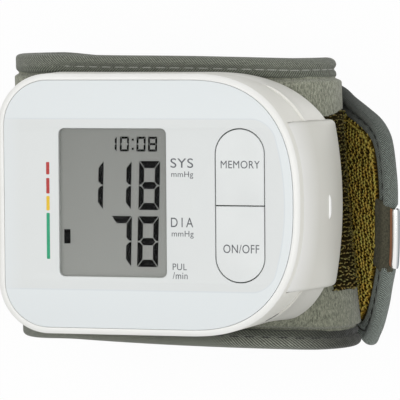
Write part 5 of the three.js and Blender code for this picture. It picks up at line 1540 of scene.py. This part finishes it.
def make_curler():
    """The springy sheet and the flat air bag inside the cuff, carried round the roll with the cloth."""
    for name, node, slot, lengths, half, outer, inner in (
        ("cuff_curler_sheet", "cuff_curler", "curler", (9.0, ROLL_LENGTH - 26.7), 34.0, -2.6, -3.3),
        ("air_bladder_bag", "air_bladder", "silicone", (24.0, 176.0), 30.0, -3.7, -5.7),
    ):
        along = np.linspace(*lengths, 160)[:, None]
        y = np.linspace(-half, half, 41)[None]
        pinch = PINCH * (outer - inner) * shoulder(y, half, PINCH_WIDTH)
        top = on_cuff(along, y, outer - pinch)
        bottom = on_cuff(along, y, inner + pinch)
        piece = make_sheet(name, top, bottom, INSIDE[slot], None, 50)
        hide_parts(node)
        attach(piece, "monitor")


def make_lining():
    """The inner cloth: smooth along the roll, drawn up to the tapes at its edges and to the velour at its
    end."""
    along = np.arange(CLOTH_START, LINING_END, 1.3)[:, None]
    y = np.linspace(-LINING_HALF, LINING_HALF, 60)[None]
    slope = shoulder(y, LINING_HALF, SHOULDER)
    drawn_up = LINING_RISE * ramp(along, LINING_END - LINING_RISE_LENGTH, LINING_END)
    taper = LINING_TAPER * (1 - ease((along - CLOTH_START) / TAPER_LENGTH))
    ripple = 0.15 * np.sin(along * 0.35) * (1 - slope)
    inner = LINING_INNER + SHOULDER_FALL * slope + drawn_up + taper + ripple
    inner = np.minimum(inner, -VELOUR - 0.6)
    top = on_cuff(along, y, np.minimum(inner + LINING_THICK, -VELOUR - 0.1))
    bottom = on_cuff(along, y, inner)
    piece = make_sheet("cuff_lining_cloth", top, bottom, LINING_CLOTH, stacked(along, y))
    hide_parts("cuff_lining")
    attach(piece, "monitor")


# Tongue, measured from its hinge line along its own length

# Its edge as (length, y), from the upper root round the tip to the pointed lower corner and the lower root
TONGUE_EDGE = (
    (-31, CUFF_HALF), (SPLIT, CUFF_HALF), (-12, 37.8), (0, 34.6), (8, 33.7), (14, 32.6), (18.5, 31.4),
    (23, 29.5), (31.5, 26.6), (39, 23.7), (43.7, 20), (45.6, 16), (46.5, 9.3), (46.4, 3), (44.1, -9.5),
    (41.5, -17.4), (37.6, -23.6), (33.7, -29.7), (28.7, -35.8), (24.6, -39.4), (21.7, -41.5), (18.4, -40.2),
    (14.5, -38.7), (8, -38), (-9, -39), (SPLIT, -CUFF_HALF), (-31, -CUFF_HALF))
EDGE_EASE = 0.75  # how far the edge is smoothed, per distance that it is drawn in
TAB_TOP = 0.2  # the dark tab at the tip, along Y
TAB_FOOT = -20.8
CLIP_MIDDLE = -9.2  # the metal clip, along Y
CLIP_HALF = 8.0
CLIP_LIP = 1.9  # the clip's section: the reach of its lips, its nose's middle and radius, its thickness
CLIP_NOSE_IN = 1.0
CLIP_NOSE = 1.05
CLIP_THICK = 0.4
CLIP_OUT = 2.3  # how far the section is moved out past the tongue's edge
TAB_DEPTH = 6.7  # from the tongue's edge inwards
TAB_PRESS = 0.62  # how much flatter the tape is under the tab
TAB_ROUND = 1.9  # the rounding of its corners
TAB_FACE = -3.3  # the height of its face at the tongue's edge
TAB_SLOPE = 1.85  # how much further out its face lies away from the edge
TAB_BACK = -2.0
TAB_RIM = 0.5  # how far its face falls at its edges
TONGUE_VELOUR_INSET = 4.0  # how far the tongue's cloths end inside its edge
TONGUE_PAD_INSET = 4.6


def tongue_level(u):
    """The middle plane of the edge tape, which rises from the roll's level to the tongue's."""
    return BINDING_MIDDLE + (TONGUE_BINDING_MIDDLE - BINDING_MIDDLE) * ease((u + 22.0) / 22.0)


def on_tongue(u, y, height):
    """The point on the cuff at a length u from the tongue's hinge line."""
    return on_cuff(ROLL_LENGTH + u, y, height)


def tongue_edge(step, inset=0.0):
    """Evenly spaced points (length, y) round the tongue's edge from its upper root to its lower root, drawn
    in by inset, with the direction along the edge and the one inwards. The edge is first smoothed with a bell
    curve that widens with the inset, so that its corners stay open."""
    edge = smooth_line(TONGUE_EDGE, 40)
    run = np.concatenate([[0], np.cumsum(np.linalg.norm(np.diff(edge, axis=0), axis=1))])
    marks = np.linspace(0, run[-1], int(run[-1] / step))
    even = np.stack([np.interp(marks, run, edge[:, k]) for k in range(2)], -1)
    if inset > 0:
        spread = EDGE_EASE * inset
        pad = int(3 * spread / step) + 1
        before = 2 * even[:1] - even[pad:0:-1]
        after = 2 * even[-1:] - even[-2:-pad - 2:-1]
        bell = np.exp(-0.5 * (np.arange(-pad, pad + 1) * step / spread) ** 2)
        padded = np.concatenate([before, even, after])
        even = np.stack([np.convolve(padded[:, k], bell / bell.sum(), "valid") for k in range(2)], -1)
    along = unit(np.gradient(even, axis=0))
    inward = np.stack([along[:, 1], -along[:, 0]], -1)
    return marks, even + inset * inward, along, inward


def tab_squeeze(edge):
    """How flat the tape is pressed under the tab and the clip: 1 away from them, less in their middle."""
    inside = ramp(edge[:, 1], TAB_FOOT + 1.4, TAB_FOOT + 3.2) * ramp(edge[:, 1], TAB_TOP - 0.5, TAB_TOP - 2.3)
    return 1 - TAB_PRESS * inside * ramp(edge[:, 0], 30.0, 36.0)


def make_tongue_binding():
    """The tape round the tongue: the same section, its inside turned to the tongue's middle all the way.
    Under the clip the slant of its ribs turns over."""
    marks, edge, along, _ = tongue_edge(TAPE_STEP)
    flat = np.stack([tongue_edge(TAPE_STEP, inset)[1] for inset in np.maximum(SECTION_IN, 0.0)], axis=1)
    squeeze = tab_squeeze(edge)
    height = tongue_level(edge[:, 0])[:, None] + 0.93 * squeeze[:, None] * puckered(marks)
    rings = on_tongue(flat[..., 0], flat[..., 1], height)
    weave = np.where(edge[:, 1] > CLIP_MIDDLE, marks, -marks)
    piece = make_tape("tongue_binding_tape", rings, weave, TONGUE_TWILL)
    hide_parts("tongue_binding")
    bend_with_tongue(piece)
    picks = np.arange(STITCH_PITCH, marks[-1] - 1, STITCH_PITCH)
    picks = picks[np.interp(picks, marks, squeeze) > 0.99]
    seam = tongue_edge(TAPE_STEP, STITCH_LINE)[1]
    u, y, along_u, along_y = (np.interp(picks, marks, values) for values in (*seam.T, *along.T))
    turn = np.arctan2(along_y, along_u)
    bend_with_tongue(sew("tongue_stitches", ROLL_LENGTH + u, y, tongue_level(u), DARK_THREAD, turn))


def tongue_limits(u, inset):
    """The lowest and highest y inside the tongue's edge, drawn in by inset, at lengths u."""
    drawn = tongue_edge(0.5, inset)[1]
    tip = int(np.argmax(drawn[:, 0]))
    high = np.interp(u, drawn[:tip + 1, 0], drawn[:tip + 1, 1])
    low = np.interp(u, np.maximum.accumulate(drawn[tip:, 0][::-1]), drawn[tip:, 1][::-1])
    return low, high, drawn[tip, 0]


def tongue_grid(start, inset, rows, columns):
    """Lengths and places of a grid that fills the tongue's outline, drawn in by inset."""
    tip = tongue_limits(np.zeros(1), inset)[2]
    q = np.linspace(0, 0.97, rows)
    u = (start + (tip - start) * np.sin(q * math.pi / 2))[:, None]
    low, high, _ = tongue_limits(u, inset)
    v = np.linspace(-1, 1, columns)[None]
    return np.broadcast_arrays(u, (low + high) / 2 + v * (high - low) / 2, v)


def make_tongue_velour():
    """The tongue's outer layer, which carries on from the cuff's and slopes down to the tape."""
    u, y, v = tongue_grid(SPLIT, TONGUE_VELOUR_INSET, 70, 61)
    fall = 1.5 * ramp(np.abs(v), 0.88, 1.0) + 0.9 * ramp(u, 38.0, 43.0)
    top = on_tongue(u, y, -VELOUR_SUNK - fall)
    bottom = on_tongue(u, y, -VELOUR - 0.3)
    piece = make_sheet("tongue_velour_pad", top, bottom, VELOUR_CLOTH, stacked(u, y))
    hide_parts("tongue_velour")
    bend_with_tongue(piece)


PAD_START = -6.0
PAD_FACE = -4.0
LOOP_LEAN = 0.55  # how far a loop leans along the wrist, per height
COLUMN_PITCH = 1.85
LOOP_PITCH = 0.98  # between loops in a column
LOOP_INSET = 5.6  # how far inside the tongue's edge the loops stop
EDGE_LOOP_PITCH = 1.3
EDGE_LOOP_INSET = 6.1
LOOP_SIZE = (0.55, 1.15, 0.19)  # half width, height and yarn radius
EDGE_LOOP_SIZE = (0.72, 1.5, 0.22)
HOOK_SIZE = (0.62, 0.85, 0.17)
HOOK_TURN = 0.9  # how much of a loop's arch a hook has


def pad_height(u, v):
    """The loop cloth's face: level, sinking to the tape at its edges and to the lining at its root."""
    return PAD_FACE + 0.7 * ramp(np.abs(v), 0.9, 1.0) + 0.6 * (1 - ease((u - PAD_START) / 5.0))


def make_loop_pad():
    """The loop cloth on the tongue's inner face."""
    u, y, v = tongue_grid(PAD_START, TONGUE_PAD_INSET, 60, 61)
    top = on_tongue(u, y, -VELOUR - 0.4)
    bottom = on_tongue(u, y, pad_height(u, v))
    piece = make_sheet("tongue_loop_cloth", top, bottom, OLIVE_GROUND, stacked(u, y))
    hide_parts("tongue_loop_pad")
    bend_with_tongue(piece)
    grow_loops()


def loop_shape(width, height, thick, steps, full, lean=0.0):
    """A small arch of yarn: a half ellipse in X and Z (or a hook, if it stops short), leaning along X as it
    rises, with a few-sided tube."""
    a = np.linspace(0, math.pi * full, steps)
    flat = np.zeros(steps)
    middle = np.stack([width * np.cos(a) + lean * height * np.sin(a), flat, height * np.sin(a)], -1)
    out = unit(np.stack([np.cos(a) / width, flat, np.sin(a) / height], -1))[:, None]
    b = (np.arange(YARN_SIDES) * 2 * math.pi / YARN_SIDES)[None, :, None]
    rings = middle[:, None] + thick * (np.cos(b) * out + np.sin(b) * np.array([0, 1.0, 0]))
    # rise, the share of the loop's height, carries the yarn finish's painted shade and painted highlight
    rise = np.repeat(np.clip(middle[:, 2] / height, 0, 1), YARN_SIDES)
    uv = np.stack([np.zeros_like(rise), rise], -1)
    return rings.reshape(-1, 3), tube_faces(steps, YARN_SIDES), uv


def grow_loops():
    """Columns of yarn loops that stand on the loop cloth, all leaning along the wrist and every other column
    half a step up, with one line of rounder loops beside the tape."""
    rng = np.random.default_rng(7)
    columns = np.arange(-3.0, 47.0, COLUMN_PITCH)
    u, y = np.meshgrid(columns, np.arange(-42.0, 38.0, LOOP_PITCH), indexing="ij")
    raised = LOOP_PITCH / 2 * (np.arange(len(columns)) % 2)[:, None]
    u = u + rng.uniform(-0.16, 0.16, u.shape)
    y = y + rng.uniform(-0.14, 0.14, y.shape) + raised
    low, high, tip = tongue_limits(u, LOOP_INSET)
    keep = (y > low) & (y < high) & (u < tip)
    u, y = u[keep], y[keep]
    v = 2 * (y - low[keep]) / (high[keep] - low[keep]) - 1
    angle = QUARTER_TURN + rng.normal(0, 0.2, u.shape)
    size = rng.uniform(0.84, 1.2, u.shape)
    tilt = rng.normal(0, 0.2, u.shape)
    frames = cloth_frames(ROLL_LENGTH + u, y, pad_height(u, v) + 0.2, angle, tilt, size, -1)
    loop = loop_shape(*LOOP_SIZE, 8, 1.0, LOOP_LEAN)
    bend_with_tongue(copy_loops("tongue_loops", loop, frames, OLIVE_LOOPS))
    _, line, along, _ = tongue_edge(EDGE_LOOP_PITCH, EDGE_LOOP_INSET)
    beside = (line[:, 0] > 5.0) & (line[:, 1] > -36.0)
    line, along = line[beside], along[beside]
    angle = np.arctan2(along[:, 1], along[:, 0]) + rng.normal(0, 0.25, len(line))
    size = rng.uniform(0.85, 1.15, len(line))
    tilt = rng.normal(0, 0.2, len(line))
    frames = cloth_frames(ROLL_LENGTH + line[:, 0], line[:, 1], PAD_FACE + 0.4, angle, tilt, size, -1)
    loop = loop_shape(*EDGE_LOOP_SIZE, 9, 1.0)
    bend_with_tongue(copy_loops("tongue_edge_loops", loop, frames, OLIVE_LOOPS))


def cloth_frames(length, y, height, angle, tilt, size, side):
    """Places on the cuff, with axes along the cloth (turned by angle), across it and out of it (tilted)."""
    here = on_cuff(length, y, height)
    ahead = unit(on_cuff(length + 0.2, y, height) - here)
    out = unit(side * (on_cuff(length, y, height + 1.0) - here))
    across = np.cross(out, ahead)
    along = ahead * np.cos(angle)[:, None] + across * np.sin(angle)[:, None]
    other = np.cross(out, along)
    lifted = out * np.cos(tilt)[:, None] + other * np.sin(tilt)[:, None]
    other = np.cross(lifted, along)
    return here, np.stack([along, other, lifted], axis=1) * size[:, None, None]


def copy_loops(name, loop, frames, finish):
    """One loop or hook of yarn copied to its places on the cloth."""
    shape, faces, uv = loop
    piece = make_copies(name, shape, faces, *frames, finish, 80, uv)
    return piece


PATCH_START = RIGHT_RADIUS * (math.radians(-10) - SHORT_END_ANGLE)
PATCH_END = RIGHT_RADIUS * (math.radians(38) - SHORT_END_ANGLE)
PATCH_SLANT = 2.2  # how much lower the patch's upper edge is by the door than at its outer end


def patch_slant(length):
    """How far the patch's upper edge is raised at a length round the bend."""
    return PATCH_SLANT * (0.5 - ramp(length, PATCH_START, PATCH_END))


def make_hook_patch():
    """The olive patch on the cuff's outside by the door: a thin ground with ragged edges and a slanted upper
    one, and its hooks."""
    low, high = (corner[1] for corner in node_box("hook_patch"))
    rng = np.random.default_rng(11)
    along = np.linspace(PATCH_START, PATCH_END, 40)[:, None]
    w = np.linspace(-1, 1, 40)[:, None]
    v = np.linspace(-1, 1, 120)[None]
    y = (low + high) / 2 + v * (high - low) / 2 + ease(v) * patch_slant(along)
    ragged = rng.normal(0, 0.16, (40, 2))
    y = y + ragged[:, :1] * ramp(v, 0.9, 1.0) + ragged[:, 1:] * ramp(-v, 0.9, 1.0)
    thin = np.maximum(ramp(np.abs(v), 0.94, 1.0), ramp(np.abs(w), 0.9, 1.0))
    top = on_cuff(along, y, 0.05 - 0.5 * thin)
    bottom = on_cuff(along, y, -1.0)
    piece = make_sheet("hook_patch_ground", top, bottom, HOOK_GROUND, stacked(along, y))
    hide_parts("hook_patch")
    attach(piece, "monitor")
    s = np.arange(PATCH_START + 0.3, PATCH_END, 1.3)
    s, y = np.meshgrid(s, np.arange(low + 1.3, high, 1.2), indexing="ij")
    s = (s + rng.uniform(-0.2, 0.2, s.shape)).ravel()
    y = (y + rng.uniform(-0.2, 0.2, y.shape)).ravel()
    inside = y < high - 0.9 + patch_slant(s)
    s, y = s[inside], y[inside]
    angle = rng.normal(0, 0.35, s.shape)
    tilt = rng.normal(0, 0.3, s.shape)
    frames = cloth_frames(s, y, -0.3, angle, tilt, rng.uniform(0.75, 1.2, s.shape), 1)
    hook = loop_shape(*HOOK_SIZE, 9, HOOK_TURN)
    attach(copy_loops("hook_patch_hooks", hook, frames, OLIVE_HOOKS), "monitor")


def beside_edge(y, inset):
    """Points (length, y) at a distance inside the tongue's edge, where its tip passes the places y."""
    _, edge, _, inward = tongue_edge(0.5)
    tip = (edge[:, 0] > 33.0) & (edge[:, 1] < 5.0)
    order = np.argsort(edge[tip, 1])
    pick = [np.interp(y, edge[tip, 1][order], values[tip][order]) for values in (*edge.T, *inward.T)]
    return pick[0] + inset * pick[2], pick[1] + inset * pick[3]


def make_tip_patch():
    """The dark tab that holds the clip: a thin pad along the tip with rounded corners, sloping down over the
    pressed tape to the clip, thinner at its edges."""
    w = np.linspace(-1, 1, 60)[:, None]
    e = -0.1 + TAB_ROUND * ramp(np.abs(w), 0.84, 1.0)
    e = e + (TAB_DEPTH - e) * np.linspace(0, 1, 26)[None]
    y = (TAB_TOP + TAB_FOOT) / 2 + w * (TAB_TOP - TAB_FOOT) / 2
    u, y = beside_edge(np.broadcast_to(y, e.shape), e)
    face = TAB_FACE - TAB_SLOPE * ramp(e, -1.0, 3.5) + 0.1 * np.sin(e * 2.2)
    rim = np.maximum(ramp(np.abs(w), 0.95, 1.0), ramp(e, TAB_DEPTH - 0.6, TAB_DEPTH))
    top = on_tongue(u, y, face + TAB_RIM * rim)
    bottom = on_tongue(u, y, TAB_BACK)
    piece = make_sheet("tip_patch_pad", top, bottom, DARK_FABRIC, stacked(u, y), crease=60)
    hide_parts("tip_patch")
    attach(piece, "tongue")


def make_clip():
    """The slim metal clip on the tip: a strip bent round the edge in section, carried along the tip, with its
    two ends slightly closed."""
    nose = np.linspace(-math.pi / 2, math.pi / 2, 16)
    lip = np.linspace(CLIP_LIP, CLIP_NOSE_IN, 6)[:-1]
    flat = np.full(len(lip), CLIP_NOSE)
    line = np.stack([
        np.concatenate([lip, CLIP_NOSE_IN - CLIP_NOSE * np.cos(nose), lip[::-1]]),
        np.concatenate([-flat, CLIP_NOSE * np.sin(nose), flat])], -1)
    tangent = unit(np.gradient(line, axis=0))
    normal = np.stack([-tangent[:, 1], tangent[:, 0]], -1)
    section = np.concatenate([line + CLIP_THICK / 2 * normal, (line - CLIP_THICK / 2 * normal)[::-1]])
    w = np.linspace(-1, 1, 61)[:, None]
    y = np.broadcast_to(CLIP_MIDDLE + CLIP_HALF * w, (61, len(section)))
    u, y = beside_edge(y, section[None, :, 0] - CLIP_OUT)
    closed = 1 - 0.12 * ramp(np.abs(w), 0.9, 1.0)
    rings = on_tongue(u, y, TONGUE_BINDING_MIDDLE + section[None, :, 1] * closed)
    uv = stacked(y[:, :1], around(section)[None])
    piece = make_tube("tip_clip_metal", rings, CLIP_METAL, uv, crease=45)
    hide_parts("tip_clip")
    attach(piece, "tongue")


dress_inside()
set_camera()
set_floor()
set_lights()
front_case = make_front_case()
rear_case = make_rear_case()
door_room = door_cutters()
cut_away(front_case, door_room)
cut_away(rear_case, door_room)
for block in door_room:
    bpy.data.objects.remove(block)
make_pry_slot()
make_door()
make_grip()
make_panel()
make_keys()
make_lens()
make_display()
make_print()
make_velour()
make_curler()
make_lining()
make_roll_binding("upper_binding", 1)
make_roll_binding("lower_binding", -1)
make_short_end()
make_hook_patch()
make_tongue_velour()
make_loop_pad()
make_tongue_binding()
make_tip_patch()
make_clip()
